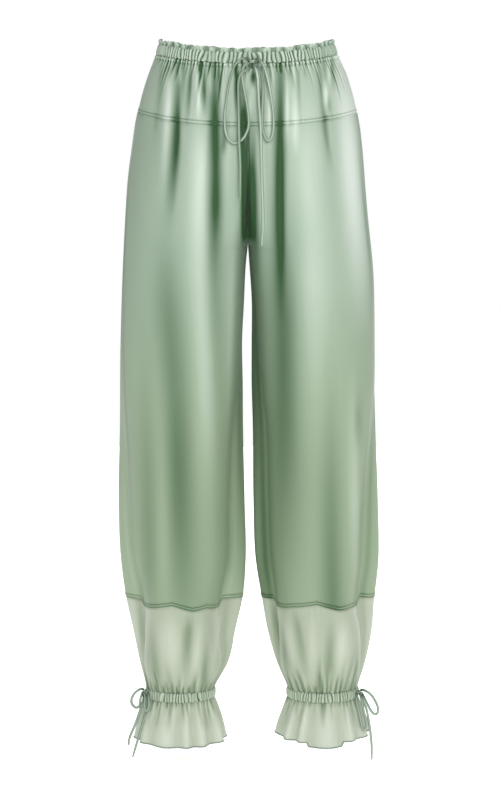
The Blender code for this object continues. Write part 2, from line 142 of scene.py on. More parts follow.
# Camera, light and floor

studio = {
    "cameraPlace": (2.92, -3000, 0), "tiltDown": 9.57,   # mm and degrees
    "lens": 93.65,             # on a 36 mm sensor along the picture's longer side
    "floorBelow": 8,           # under the lowest end of a tie
    "floorColour": "f6f7f5", "floorSize": 5.0, "floorGlow": 0.66, "skyStrength": 0.34,
    "overhead": 0.9, "overheadSpread": 80, "overheadTilt": (15, 8),
}
# name, watts, width and height in metres, place in metres and the point each softbox faces
softboxes = (
    ("keyLight", 31, 0.9, 1.2, (0.45, -2.1, 1.0), (0.0, 0, -0.15)),
    ("fillLight", 8, 0.6, 2.0, (-1.9, -2.2, 0.2), (0, 0, -0.5)),
    ("backLight", 22, 1.2, 1.6, (-0.1, 2.6, 0.7), (0, 0, -0.5)),
)


def placed(name, data):
    item = bpy.data.objects.new(name, data)
    bpy.context.scene.collection.objects.link(item)
    return item


def buildStudio():
    camera = placed("camera", bpy.data.cameras.new("camera"))
    camera.location = [place * mm for place in studio["cameraPlace"]]
    camera.rotation_euler = (radians(90 - studio["tiltDown"]), 0, 0)
    camera.data.lens = studio["lens"]
    camera.data.sensor_width = 36
    bpy.context.scene.camera = camera
    bpy.context.scene.view_settings.view_transform = "Standard"

    floorHeight = cadBox[0][2] - studio["floorBelow"] * mm
    bpy.ops.object.select_all(action="DESELECT")
    bpy.ops.mesh.primitive_plane_add(size=studio["floorSize"], location=(0, 0, floorHeight))
    floor = bpy.context.object
    floor.name = "floor"
    material, tree = newMaterial("matt studio paper")
    # matt paper: no gloss, only a soft shade under the ankles
    paper = addNode(tree, "ShaderNodeBsdfDiffuse", {"Color": linear(studio["floorColour"])})
    # lit from below, as a cut-out table is, so that its edge is lost in the white behind
    glow = addNode(tree, "ShaderNodeEmission", {"Strength": studio["floorGlow"]})
    both = addNode(tree, "ShaderNodeAddShader", {0: paper.outputs[0], 1: glow.outputs[0]})
    addNode(tree, "ShaderNodeOutputMaterial", {"Surface": both.outputs[0]})
    floor.data.materials.append(material)

    world = bpy.data.worlds.new("studio")
    world.use_nodes = True
    tree = world.node_tree
    tree = world.node_tree
    tree.nodes.clear()
    # the room lights softly from all round, and shows as plain white behind
    room = addNode(tree, "ShaderNodeBackground", {"Color": (1, 1, 1, 1), "Strength": studio["skyStrength"]})
    white = addNode(tree, "ShaderNodeBackground", {"Color": (1, 1, 1, 1), "Strength": 1.0})
    seen = addNode(tree, "ShaderNodeLightPath")
    mixed = addNode(tree, "ShaderNodeMixShader", {
        0: seen.outputs["Is Camera Ray"], 1: room.outputs[0], 2: white.outputs[0]})
    addNode(tree, "ShaderNodeOutputWorld", {"Surface": mixed.outputs[0]})
    bpy.context.scene.world = world

    for name, watts, width, height, place, target in softboxes:
        lamp = bpy.data.lights.new(name, "AREA")
        lamp.shape = "RECTANGLE"
        lamp.energy = watts
        lamp.size, lamp.size_y = width, height
        item = placed(name, lamp)
        item.visible_camera = False
        item.location = place
        away = item.location - type(item.location)(target)
        item.rotation_euler = away.to_track_quat("Z", "Y").to_euler()
    # a broad overhead lamp for the floor and for what faces up
    lamp = bpy.data.lights.new("overhead", "SUN")
    lamp.energy = studio["overhead"]
    lamp.angle = radians(studio["overheadSpread"])
    placed("overhead", lamp).rotation_euler = [radians(tilt) for tilt in (*studio["overheadTilt"], 0)]


buildStudio()
print("studio and camera")


# Materials

satin = {
    # the second and third tones are painted shade for the folds and a painted highlight for the ridges
    "tone": "96a996", "paintedShadeTone": "375638", "paintedHighlightTone": "d6e0d6", "deepen": 1.2, "lighten": 1.15,
    # painted light: towards the hems the silk is painted a darker, warmer tone for the paper's warm light
    "lowTone": "8c9e82", "lowFrom": -180, "lowTo": -680,
    "roughness": 0.5, "anisotropy": 0.6, "gloss": 0.5, "foldGloss": 0.05,
    "sheen": 0.08, "sheenTone": "9dbd9d",
    "streak": 2.2, "streakLength": 110, "crumple": 30, "crumpleLength": 100, "crumpleDepth": 1.1,   # mm
}
organza = {
    "tone": "b3bda8", "paintedShadeTone": "73886a", "paintedHighlightTone": "d9e0d4", "deepen": 1.2, "lighten": 1.2,
    "alpha": 0.8, "roughness": 0.5, "slub": 1.6, "slubLength": 40,
}
gathered = {
    **organza, "tone": "a0b099", "paintedShadeTone": "32502f", "paintedHighlightTone": "dbe5d3", "deepen": 1.3,
    "alpha": 0.93, "roughness": 0.45,
}
tieCloth = {
    "tone": "a6b9a5", "paintedShadeTone": "2f4836", "paintedHighlightTone": "a6b9a5", "deepen": 1.0, "lighten": 1.0,
    "roughness": 0.4, "grain": 3,
}


def foldColour(tree, look, low=None):
    # a cloth's own colour with painted shade mixed in deep in its folds and a painted highlight on its
    # ridges, as its "fold" attribute says
    fold = addNode(tree, "ShaderNodeAttribute", attribute_name="fold").outputs["Fac"]
    down, up = (addNode(tree, "ShaderNodeMath", {0: fold, 1: share}, operation="MULTIPLY", use_clamp=True)
                for share in (look["deepen"], -look["lighten"]))

    def blend(share, first, second):
        return addNode(tree, "ShaderNodeMix", {0: share, 6: first, 7: second}, data_type="RGBA").outputs[2]

    own = blend(low, linear(look["tone"]), linear(look["lowTone"])) if low else linear(look["tone"])
    deep = blend(down.outputs[0], own, linear(look["paintedShadeTone"]))
    return blend(up.outputs[0], deep, linear(look["paintedHighlightTone"]))


def grained(tree, vector, scale=1.0, detail=2.0):
    noise = addNode(tree, "ShaderNodeTexNoise", {"Vector": vector, "Scale": scale, "Detail": detail})
    return noise.outputs[0]


def stretched(tree, vector, *lengths):
    # a map drawn out, so that its unit is so many mm in each direction
    scale = [1 / (length * mm) for length in lengths]
    return addNode(tree, "ShaderNodeMapping", {"Vector": vector, "Scale": scale}).outputs[0]


def toned(tree, colour, grain, low, high):
    # a colour made a little darker and lighter by a grain
    tones = addNode(tree, "ShaderNodeMapRange", {
        "Value": grain, "From Min": 0.3, "From Max": 0.7, "To Min": low, "To Max": high})
    return addNode(tree, "ShaderNodeVectorMath", {0: colour, 1: tones.outputs[0]},
                   operation="MULTIPLY").outputs[0]


def raised(tree, grain, strength, depth, **under):
    # a surface raised by a grain, its depth in mm
    return addNode(tree, "ShaderNodeBump", {
        "Height": grain, "Strength": strength, "Distance": depth * mm, **under}).outputs[0]


def surface(tree, inputs):
    shader = addNode(tree, "ShaderNodeBsdfPrincipled", inputs)
    addNode(tree, "ShaderNodeOutputMaterial", {"Surface": shader.outputs[0]})


def silkSatin(name, look):
    # Silk satin: long warp floats give a broad soft gloss and faint streaks down the cloth.
    # Its folds get painted shade, darker and greener, and its ridges a painted highlight.
    material, tree = newMaterial(name)
    cloth = addNode(tree, "ShaderNodeUVMap", uv_map="cloth").outputs[0]
    streaks = grained(tree, stretched(tree, cloth, look["streak"], look["streakLength"], 1000))
    place = addNode(tree, "ShaderNodeTexCoord").outputs["Object"]
    spot = addNode(tree, "ShaderNodeSeparateXYZ", {0: place})
    # painted light: the warmer, darker hem tone grows down the leg
    low = addNode(tree, "ShaderNodeMapRange", {
        "Value": spot.outputs["Z"], "From Min": look["lowFrom"] * mm, "From Max": look["lowTo"] * mm},
        interpolation_type="SMOOTHSTEP")
    colour = toned(tree, foldColour(tree, look, low.outputs[0]), streaks, 0.985, 1.015)
    # soft crumples, longer down the leg than across it
    wide = stretched(tree, place, look["crumple"], look["crumple"], look["crumpleLength"])
    soft = raised(tree, grained(tree, wide, detail=3.0), 0.35, look["crumpleDepth"])
    # the floats themselves are finer than a pixel, so the weave is drawn as the streaks' faint ribs
    ribs = raised(tree, streaks, 0.25, 0.05, Normal=soft)
    # the gloss fades where the fold attribute paints shade, a painted shade on the reflections too
    fold = addNode(tree, "ShaderNodeAttribute", attribute_name="fold")
    gloss = addNode(tree, "ShaderNodeMapRange", {
        "Value": fold.outputs["Fac"], "From Min": 0.1, "From Max": 0.7,
        "To Min": look["gloss"], "To Max": look["foldGloss"]})
    # the long floats spread the gloss down the cloth, so that each fold shines along its length
    floats = addNode(tree, "ShaderNodeTangent", direction_type="UV_MAP", uv_map="cloth")
    surface(tree, {
        "Base Color": colour, "Roughness": look["roughness"], "Normal": ribs,
        "IOR": 1.55, "Specular IOR Level": gloss.outputs[0], "Specular Tint": linear("f2fbf2"),
        "Anisotropic": look["anisotropy"], "Anisotropic Rotation": 0.25, "Tangent": floats.outputs[0],
        "Sheen Weight": look["sheen"], "Sheen Roughness": 0.35, "Sheen Tint": linear(look["sheenTone"])})
    return material


def silkOrganza(name, look):
    # Silk organza: a crisp open weave that lets light through, so layers show as steps of depth.
    material, tree = newMaterial(name)
    cloth = addNode(tree, "ShaderNodeUVMap", uv_map="cloth").outputs[0]
    slubs = grained(tree, stretched(tree, cloth, look["slub"], look["slubLength"], 1000))
    # its colour takes painted shade in its folds and a painted highlight on its ridges
    surface(tree, {
        "Base Color": toned(tree, foldColour(tree, look), slubs, 0.97, 1.03), "Roughness": look["roughness"],
        "Normal": raised(tree, slubs, 0.3, 0.06), "IOR": 1.5, "Alpha": look["alpha"],
        "Sheen Weight": 0.2, "Sheen Roughness": 0.4})
    return material


def satinTie(name, look):
    # A narrow tape of the same satin, turned through: its flat side shines and its folded edges get painted
    # shade
    material, tree = newMaterial(name)
    place = addNode(tree, "ShaderNodeTexCoord").outputs["Object"]
    grain = grained(tree, place, 1 / (look["grain"] * mm))
    surface(tree, {
        "Base Color": foldColour(tree, look), "Roughness": look["roughness"],
        "Normal": raised(tree, grain, 0.3, 0.3), "IOR": 1.5, "Specular IOR Level": 0.7})
    return material


def plainThread(name, hexColour):
    # Twisted thread: a fine grain that breaks up the gloss
    material, tree = newMaterial(name)
    place = addNode(tree, "ShaderNodeTexCoord").outputs["Object"]
    grain = grained(tree, place, 1 / (0.8 * mm))
    surface(tree, {
        "Base Color": toned(tree, linear(hexColour)[:3], grain, 0.9, 1.08), "Roughness": 0.5,
        "Normal": raised(tree, grain, 0.4, 0.1), "IOR": 1.5, "Sheen Weight": 0.3})
    return material


finishes = {
    "satin": silkSatin("silk satin", satin),
    "organza": silkOrganza("silk organza", organza),
    "gathered": silkOrganza("organza gathered on elastic", gathered),
    "tie": satinTie("silk satin tape", tieCloth),
    "rolled": plainThread("rolled organza edge", "64786a"),
    "thread": plainThread("sewing thread", "77907a"),
}


def dress(piece, finish, *nodes):
    # a finished piece gets its cloth, its slot and its body
    piece.data.materials.clear()
    piece.data.materials.append(finishes[finish])
    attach(piece, "root")
    if nodes:
        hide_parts(*nodes)


def meshFrom(name, points, faces):
    # a closed smooth shape from points in mm, every face turned out
    mesh = bpy.data.meshes.new(name)
    mesh.from_pydata((np.asarray(points) * mm).tolist(), [], faces)
    mesh.update()
    item = placed(name, mesh)
    shape = bmesh.new()
    shape.from_mesh(mesh)
    if shape.calc_volume(signed=True) < 0:
        bmesh.ops.reverse_faces(shape, faces=shape.faces)
        shape.to_mesh(mesh)
    shape.free()
    mesh.shade_smooth()
    return item


def tubeFaces(rings, sides, closed):
    # the faces of a tube, which has two flat ends or closes on itself
    index = np.arange(rings * sides).reshape(rings, sides)
    after = np.roll(index, -1, axis=1)
    walls = np.stack((index, after, np.roll(after, -1, axis=0), np.roll(index, -1, axis=0)), axis=-1)
    if closed:
        return walls.reshape(-1, 4).tolist()
    return walls[:-1].reshape(-1, 4).tolist() + [index[0][::-1].tolist(), index[-1].tolist()]


def shadeFolds(item, values):
    item.data.attributes.new("fold", "FLOAT", "POINT").data.foreach_set("value", values)


# Ties: the routes of the solids, each with its real length and how the flat cord turns along it

ties = {
    "waistWidth": 3.9, "ankleWidth": 3.8, "thickness": 1.0, "step": 1.6, "sides": 12, "sway": 18,
    "knotGap": 0.25, "knotStub": 2.0, "knotShade": 0.75, "knotShadeReach": 7,
    "deep": {"waistLoopL": 0.12, "waistLoopR": 0.15, "waistTailL": 0.3, "waistTailR": 0.0}, "ankleDeep": 0.25,
    "ball": 0.92, "strands": ((0.75, 0.17), (-0.5, 0.15)), "strandRaise": 0.55,
}
knots = {
    "waistKnot": ("waist_knot", (6, -100.1, -16.5), (9.5, 7, 8.5)),
    "ankleKnotL": ("ankle_knot_L", (-151.6, -17.4, -942), (6.5, 6.5, 8)),
    "ankleKnotR": ("ankle_knot_R", (164.4, -17.2, -943), (6.5, 6.5, 8)),
}
# node, knot, length in metres, turn of the flat side at the start and at the end in degrees, route
routes = {
    "waistLoopL": ("waist_loop_L", "waistKnot", 0.263, 35, -30, (
        (1, -100.5, -14), (-4, -102, -12), (-11, -104.5, -14), (-19, -107, -24), (-25, -110, -42),
        (-29, -113.5, -66), (-32, -115, -92), (-29.5, -115.5, -116), (-20, -116, -127), (-8, -116, -122.5),
        (0, -115.5, -108), (1, -115, -92), (-2.5, -112, -68), (-7, -108.5, -44), (-7.5, -106, -29),
        (-4, -104, -22), (1.2, -102.5, -19))),
    "waistLoopR": ("waist_loop_R", "waistKnot", 0.236, -20, 50, (
        (11, -100.5, -14), (16, -102.5, -14.5), (22, -105.5, -23), (27, -108.5, -39), (31.5, -112.5, -61),
        (35, -115, -88), (35, -115.5, -110), (30.5, -116, -123), (24, -116, -120), (20, -115.5, -104),
        (20, -113, -80), (21, -109, -54), (19, -106, -35), (15.5, -104, -24), (10.8, -102.5, -18.5))),
    "waistTailL": ("waist_tail_L", "waistKnot", 0.193, 10, 25, (
        (4, -102.1, -22.5), (1, -105.5, -26), (-5, -109.5, -29.5), (-10.5, -111, -35), (-13, -112, -46),
        (-13, -115.5, -66), (-12.5, -119, -92), (-12, -119.5, -125), (-10.5, -119.5, -160),
        (-11, -119.5, -203))),
    "waistTailR": ("waist_tail_R", "waistKnot", 0.252, 0, 15, (
        (8.8, -102.1, -22.5), (11, -105.5, -27), (13.5, -109, -38), (14.5, -112.5, -58), (15.5, -116.5, -78),
        (17.5, -119.5, -104), (18.5, -119.8, -140), (19.5, -119.5, -180), (21, -119.5, -236),
        (19, -119.5, -268))),
    "ankleLoopOuterL": ("ankle_loop_outer_L", "ankleKnotL", 0.073, 0, 40, (
        (-154.7, -17, -939), (-160, -18.5, -937.5), (-168, -19.5, -943), (-173, -20, -952),
        (-172.5, -20, -960), (-167, -20, -965.5), (-161.5, -20, -963), (-160, -19, -953),
        (-155.8, -18.3, -942.7))),
    "ankleLoopInnerL": ("ankle_loop_inner_L", "ankleKnotL", 0.060, 0, 30, (
        (-153.1, -21.4, -942.5), (-153, -26, -950), (-153.5, -28.5, -960), (-151, -30, -968),
        (-147, -29, -962), (-147, -25.5, -951), (-149.2, -21, -942.7))),
    "ankleTailShortL": ("ankle_tail_short_L", "ankleKnotL", 0.083, 0, 40, (
        (-154, -17.8, -945.8), (-155, -22.5, -951), (-159, -24.5, -964), (-167, -25, -988),
        (-176, -24, -1010), (-178, -24, -1022))),
    "ankleTailLongL": ("ankle_tail_long_L", "ankleKnotL", 0.097, 0, 50, (
        (-150.5, -19.4, -945.8), (-150.3, -22.8, -953), (-151, -25, -966), (-156, -31, -986),
        (-163, -38, -1008), (-171, -38, -1036))),
    "ankleLoopOuterR": ("ankle_loop_outer_R", "ankleKnotR", 0.095, 0, 40, (
        (167.5, -16.8, -940), (173, -18.5, -939.5), (182, -19.5, -945), (190, -20, -957), (193.5, -20, -968),
        (191, -20, -976), (184, -20, -972), (176.5, -19.5, -958), (168.6, -18.1, -943.7))),
    "ankleLoopInnerR": ("ankle_loop_inner_R", "ankleKnotR", 0.114, 0, 30, (
        (165.9, -21.2, -943.5), (169, -25, -955), (172, -27.5, -970), (175, -29.5, -984), (175, -31, -992),
        (171.5, -32, -996), (168.5, -32, -989), (165.5, -30, -973), (161.5, -26, -956),
        (162, -20.8, -943.7))),
    "ankleTailLongR": ("ankle_tail_long_R", "ankleKnotR", 0.102, 0, 50, (
        (166.8, -17.6, -946.8), (170.5, -20.5, -954), (176, -23, -967), (180.5, -23.5, -990),
        (184, -23.5, -1020), (185, -23.5, -1045))),
}


def leaveKnot(point, centre, size):
    # where a cord leaves its knot towards a point, and the end of its short straight stub
    half = np.array(size) / 2
    away = np.array(point, float) - centre
    away /= np.linalg.norm(away / half)
    unit = away / half**2
    unit /= np.linalg.norm(unit)
    return centre + away + unit * ties["knotGap"], centre + away + unit * (ties["knotGap"] + ties["knotStub"])


def smoothRoute(points, step):
    # evenly spaced points on a smooth curve through a route's own points
    points = np.array(points, float)
    padded = np.vstack((2 * points[0] - points[1], points, 2 * points[-1] - points[-2]))
    fine = []
    for a, b, c, d in zip(padded, padded[1:], padded[2:], padded[3:]):
        for t in np.arange(0, 1, 0.05):
            fine.append(0.5 * (2 * b + (c - a) * t + (2 * a - 5 * b + 4 * c - d) * t**2
                               + (3 * b - 3 * c + d - a) * t**3))
    fine = np.array(fine + [points[-1]])
    run = runOf(fine)
    return pointsAt(fine, run, np.linspace(0, run[-1], int(run[-1] / step) + 2))


def flatCord(name, path, width, turnStart, turnEnd, deep):
    # a narrow flat tie swept along its path, its broad side to the front but for its turn
    ahead = unit(np.gradient(path, axis=0))
    across = unit(np.cross(ahead, (0, -1, 0)))
    outward = np.cross(across, ahead)
    share = np.linspace(0, 1, len(path))
    turn = np.radians(turnStart + (turnEnd - turnStart) * share + ties["sway"] * np.sin(7 * share))[:, None]
    wide = across * np.cos(turn) + outward * np.sin(turn)
    thin = np.cross(wide, ahead)
    around = allRound(ties["sides"])
    flatX, flatY = (np.sign(part) * np.abs(part) ** 0.6 for part in (np.cos(around), np.sin(around)))
    rings = path[:, None] + wide[:, None] * (flatX * width / 2)[:, None]
    rings = rings + thin[:, None] * (flatY * ties["thickness"] / 2)[:, None]
    item = meshFrom(name, rings.reshape(-1, 3), tubeFaces(len(path), ties["sides"], False))
    # painted shade on its folded edges and a painted shadow close to the knot, and each cord darker by its
    # own set amount
    near = ties["knotShade"] * bell(np.linalg.norm(path - path[0], axis=1), ties["knotShadeReach"])
    fold = deep + smooth(0.5, 0.97, np.abs(flatX))[None, :] + near[:, None]
    shadeFolds(item, np.minimum(fold, 1).ravel())
    item.data.set_sharp_from_angle(angle=radians(60))
    return item


def tiedKnot(name, centre, size):
    # a ball modelled by hand: two strands of the tie stand out where they cross over it
    bpy.ops.object.select_all(action="DESELECT")
    bpy.ops.mesh.primitive_uv_sphere_add(segments=24, ring_count=16, radius=0.5,
                                         location=[c * mm for c in centre])
    knot = bpy.context.object
    knot.name = name
    knot.scale = [s * mm * ties["ball"] for s in size]
    bpy.ops.object.transform_apply(location=True, rotation=True, scale=True)
    bpy.ops.object.mode_set(mode="EDIT")
    bpy.ops.mesh.select_mode(type="FACE")
    for slant, width in ties["strands"]:
        bpy.ops.mesh.select_all(action="DESELECT")
        shape = bmesh.from_edit_mesh(knot.data)
        for face in shape.faces:
            x, _, z = (np.array(face.calc_center_median()) / mm - centre) / size
            face.select = bool(abs(z - slant * x) < width)
        bmesh.update_edit_mesh(knot.data)
        bpy.ops.mesh.extrude_region_shrink_fatten(
            TRANSFORM_OT_shrink_fatten={"value": ties["strandRaise"] * mm})
    bpy.ops.mesh.select_all(action="DESELECT")
    bpy.ops.object.mode_set(mode="OBJECT")
    rounding = knot.modifiers.new("rounding", "SUBSURF")
    rounding.levels = rounding.render_levels = 1
    bpy.ops.object.modifier_apply(modifier="rounding")
    knot.data.shade_smooth()
    # painted shade over the whole knot: less on the strands where they stand out, full between them
    spots = np.array([v.co for v in knot.data.vertices]) / mm - centre
    out = np.linalg.norm(spots / (np.array(size) / 2), axis=1)
    shadeFolds(knot, 0.3 + 0.7 * smooth(1.02, 0.92, out))
    return knot


def buildTies():
    knotPieces = {}
    for name, (node, centre, size) in knots.items():
        knotPieces[name] = tiedKnot(name, np.array(centre, float), np.array(size, float))
        dress(knotPieces[name], "tie", node)
    for name, (node, owner, length, turnStart, turnEnd, route) in routes.items():
        _, centre, size = knots[owner]
        points = [*leaveKnot(route[0], centre, size), *route[1:]]
        looped = "Loop" in name
        if looped:
            points = [*points[:-1], *reversed(leaveKnot(route[-1], centre, size))]
        path = smoothRoute(points, ties["step"])
        width = ties["waistWidth"] if owner == "waistKnot" else ties["ankleWidth"]
        cord = flatCord(name, path, width, turnStart, turnEnd, ties["deep"].get(name, ties["ankleDeep"]))
        dress(cord, "tie", node)


buildTies()
print("ties and knots")


# The filled-out form: how far it reaches left, right, forward and back, and how square it is

form = table(
    "height left right front back square",
    (13, 125, 121, 94, 94, 2.15),
    (0, 127, 123, 94, 94, 2.15),
    (-15, 133.5, 130.5, 97, 98, 2.15),
    (-32, 140.5, 139, 101, 103, 2.15),
    (-54, 148, 146.5, 105.5, 109, 2.15),
    (-90, 157, 155.5, 110, 116, 2.15),
    (-135, 164.5, 162, 111.5, 120, 2.2),
    (-185, 172, 167.5, 111.5, 121, 2.25),
    (-240, 177, 173, 110.5, 118, 2.3),
    (-300, 180.5, 179, 109, 113, 2.35),
    (-420, 184.5, 182.5, 105, 106, 2.4),
    (-540, 186, 187.5, 98, 99, 2.4),
    (-655, 189.5, 192.5, 90, 92, 2.4),
    (-745, 187.5, 193, 82, 85, 2.4),
    (-800, 181, 187.5, 76, 79, 2.4),
    (-850, 171, 184, 67, 69, 2.3),
    (-900, 161, 174, 50, 52, 2.2),
    (-938, 151, 163, 37, 38, 2.1),
)
# Below the crotch: each leg's inner side, and how far its front lobe stands in from the two sides
leg = table(
    "height left right left_in left_out right_in right_out",
    (-275, 0.2, 0.2, 0, 0, 0, 0),
    (-300, 3, 2, 0, 0, 0, 0),
    (-360, 6, 6, 0, 0, 4, 0),
    (-420, 8.5, 6, 0, 0, 8, 0),
    (-480, 7.5, 6, 6, 2, 13, 2),
    (-540, 7, 7.5, 12, 6, 17, 8),
    (-655, 4.5, 8, 20, 14, 20, 20),
    (-745, 3, 11.5, 25, 20, 21, 25),
    (-800, 7.5, 20.5, 34, 28, 20, 27),
    (-850, 19, 29, 22, 16, 13, 16),
    (-900, 30, 43, 7, 5, 4, 5),
    (-938, 50.5, 59.5, 0, 0, 0, 0),
)
heightAt = {
    "frillTop": 13.0, "casingTop": 7.3, "casingBottom": -7.2, "yokeSeam": -89.3, "crotch": -275.5,
    "satinHem": -799.3, "ankleTop": -938.5, "ankleBottom": -953.5, "frillHem": -1016.0,
}
waistDip, yokeDip = 11.5, 16.0     # how much lower the rings are at the centre front and back
forkCurve = 2.4
stepStart, stepEnd = 0.06, 0.38    # where the front lobe steps in, as a share of the leg's depth
seamTuck = 2.0                     # how far a panel goes on behind the one that is sewn over it
wallOf = {"satin": 0.5, "organza": 0.35}


def foldTable(*rows):
    return table("xTop top xEnd end peak left right depth shade", *rows)


# Folds from where each one starts to where it ends. It is deepest at its peak, as a share of its length.
# Left and right are its widths to either side, so that a narrow one makes a sharp edge there. A trough
# has a positive depth and a ridge a negative one, and shade is how much painted shade (or painted
# highlight, below 0) the silk gets in it.
frontFolds = foldTable(
    (-120, -4, -134, -150, 0.3, 4, 4, 1.8, 0.25),
    (-110, -4, -113, -44, 0.3, 3, 3, 1.3, 0.25),
    (-99, -4, -100, -40, 0.4, 2.6, 2.6, 1.5, 0.35),
    (-91, -4, -112, -270, 0.36, 9, 5, 5.0, 0.95),
    (-79, -4, -86, -102, 0.35, 3.2, 2.6, 3.2, 0.65),
    (-67, -4, -67, -36, 0.3, 2.2, 2.2, 1.8, 0.5),
    (-62, -4, -61, -84, 0.5, 3.2, 2.6, 3.2, 0.7),
    (-47.5, -4, -41, -340, 0.28, 9, 7, 4.6, 0.95),
    (-46, -140, -38, -560, 0.2, 10, 9, 3.6, 0.42),
    (-40, -4, -41, -46, 0.4, 2, 2, 1.4, 0.5),
    (-30, -50, -34, -135, 0.75, 3, 3, 2.0, 0.5),
    (-15, -4, -14, -90, 0.3, 3.6, 3.4, 3.0, 1.0),
    (-1, -28, -6, -100, 0.8, 3, 4, 2.5, 0.7),
    (-6, -70, 0, -400, 0.5, 5, 5, 3.0, 1.2),
    (-10, -14, -4, -230, 0.35, 4, 4, 2.2, 0.8),
    (7, -40, 7, -460, 0.35, 9, 6, 2.0, 1.0),
    (17, -24, 20, -100, 0.4, 3, 2.6, 2.4, 0.6),
    (7.5, -12, 7, -44, 0.4, 3.4, 3.4, 1.5, 0.9),
    (25, -4, 25, -36, 0.4, 2, 2, 1.2, 0.4),
    (46.5, -4, 43, -400, 0.42, 8, 5.5, 5.2, 1.15),
    (43, -160, 54, -920, 0.3, 16, 24, 3.6, 0.64),
    (58, -4, 58, -42, 0.3, 2.4, 2.4, 1.4, 0.3),
    (70, -4, 74, -100, 0.2, 3, 3, 1.6, 0.3),
    (79, -4, 81, -36, 0.3, 2.2, 2.2, 1.4, 0.35),
    (99.5, -4, 119, -170, 0.5, 5, 2.6, 4.4, 0.55),
    (105, -4, 112, -50, 0.3, 2.2, 2.2, 1.3, 0.35),
    (112, -50, 115, -88, 0.5, 4, 3, 1.4, 0.35),
    (117, -4, 122, -60, 0.3, 3, 3, 1.5, 0.6),
    (-130, -84, -130, -106, 0.5, 1.2, 1.2, 0.7, 0.3),
    (-124, -180, -112, -520, 0.5, 22, 20, 1.2, 0.26),
    (-152, -300, -140, -960, 0.6, 10, 12, 2.4, 0.28),
    (-112, -180, -88, -980, 0.5, 18, 22, 3.4, 0.55),
    (-10, -220, -8, -800, 0.5, 7, 5, 1.0, 0.45),
    (9, -220, 12, -700, 0.4, 8, 10, 1.4, 0.45),
    (13, -440, 33, -940, 0.6, 9, 9, 0.8, 0.25),
    (112, -300, 127, -960, 0.75, 15, 12, 3.2, 0.45),
    (157, -470, 157, -570, 0.5, 5, 5, 1.0, 0.2),
    (-107, -8, -120, -230, 0.3, 5, 5, -1.6, -0.6),
    (-95, -12, -96, -46, 0.4, 2.5, 2.5, -1.0, -0.4),
    (-93, -8, -95, -140, 0.45, 3, 3.4, -1.6, -0.5),
    (-71, -10, -68, -90, 0.5, 2.6, 2.6, -1.4, -0.55),
    (-65, -30, -67, -440, 0.3, 13, 10, -1.6, -0.5),
    (-66, -250, -54, -720, 0.4, 13, 13, -2.0, -0.25),
    (-53, -12, -53, -60, 0.4, 2.4, 2.4, -0.8, -0.3),
    (-33, -12, -34, -110, 0.5, 3.6, 3.4, -1.2, -0.25),
    (-27, -66, -31, -230, 0.3, 5, 5, -1.0, -0.15),
    (-19, -190, -30, -720, 0.25, 6, 6, -1.2, -0.25),
    (1, -40, 2, -86, 0.5, 3, 3, -1.0, -0.3),
    (14, -62, 22, -330, 0.3, 5, 5.5, -1.0, -0.4),
    (31, -12, 29, -130, 0.5, 3.6, 3.8, -1.4, -0.5),
    (53, -12, 53, -130, 0.5, 2.4, 4, -1.4, -0.5),
    (65, -22, 66, -140, 0.6, 4, 4.4, -1.2, -0.45),
    (80, -8, 92, -420, 0.3, 15, 20, -1.0, -0.35),
    (86, -230, 96, -640, 0.25, 22, 22, -1.4, -0.2),
    (107, -30, 110, -90, 0.5, 3, 3, -1.0, -0.6),
    (112, -10, 114, -50, 0.5, 2.4, 2.4, -0.8, -0.35),
    (133, -4, 168, -430, 0.35, 16, 40, -1.0, -0.9),
    (-121, -420, -122, -840, 0.6, 8, 8, -1.6, -0.12),
    (147, -400, 156, -840, 0.5, 8, 7, -1.2, -0.3),
)
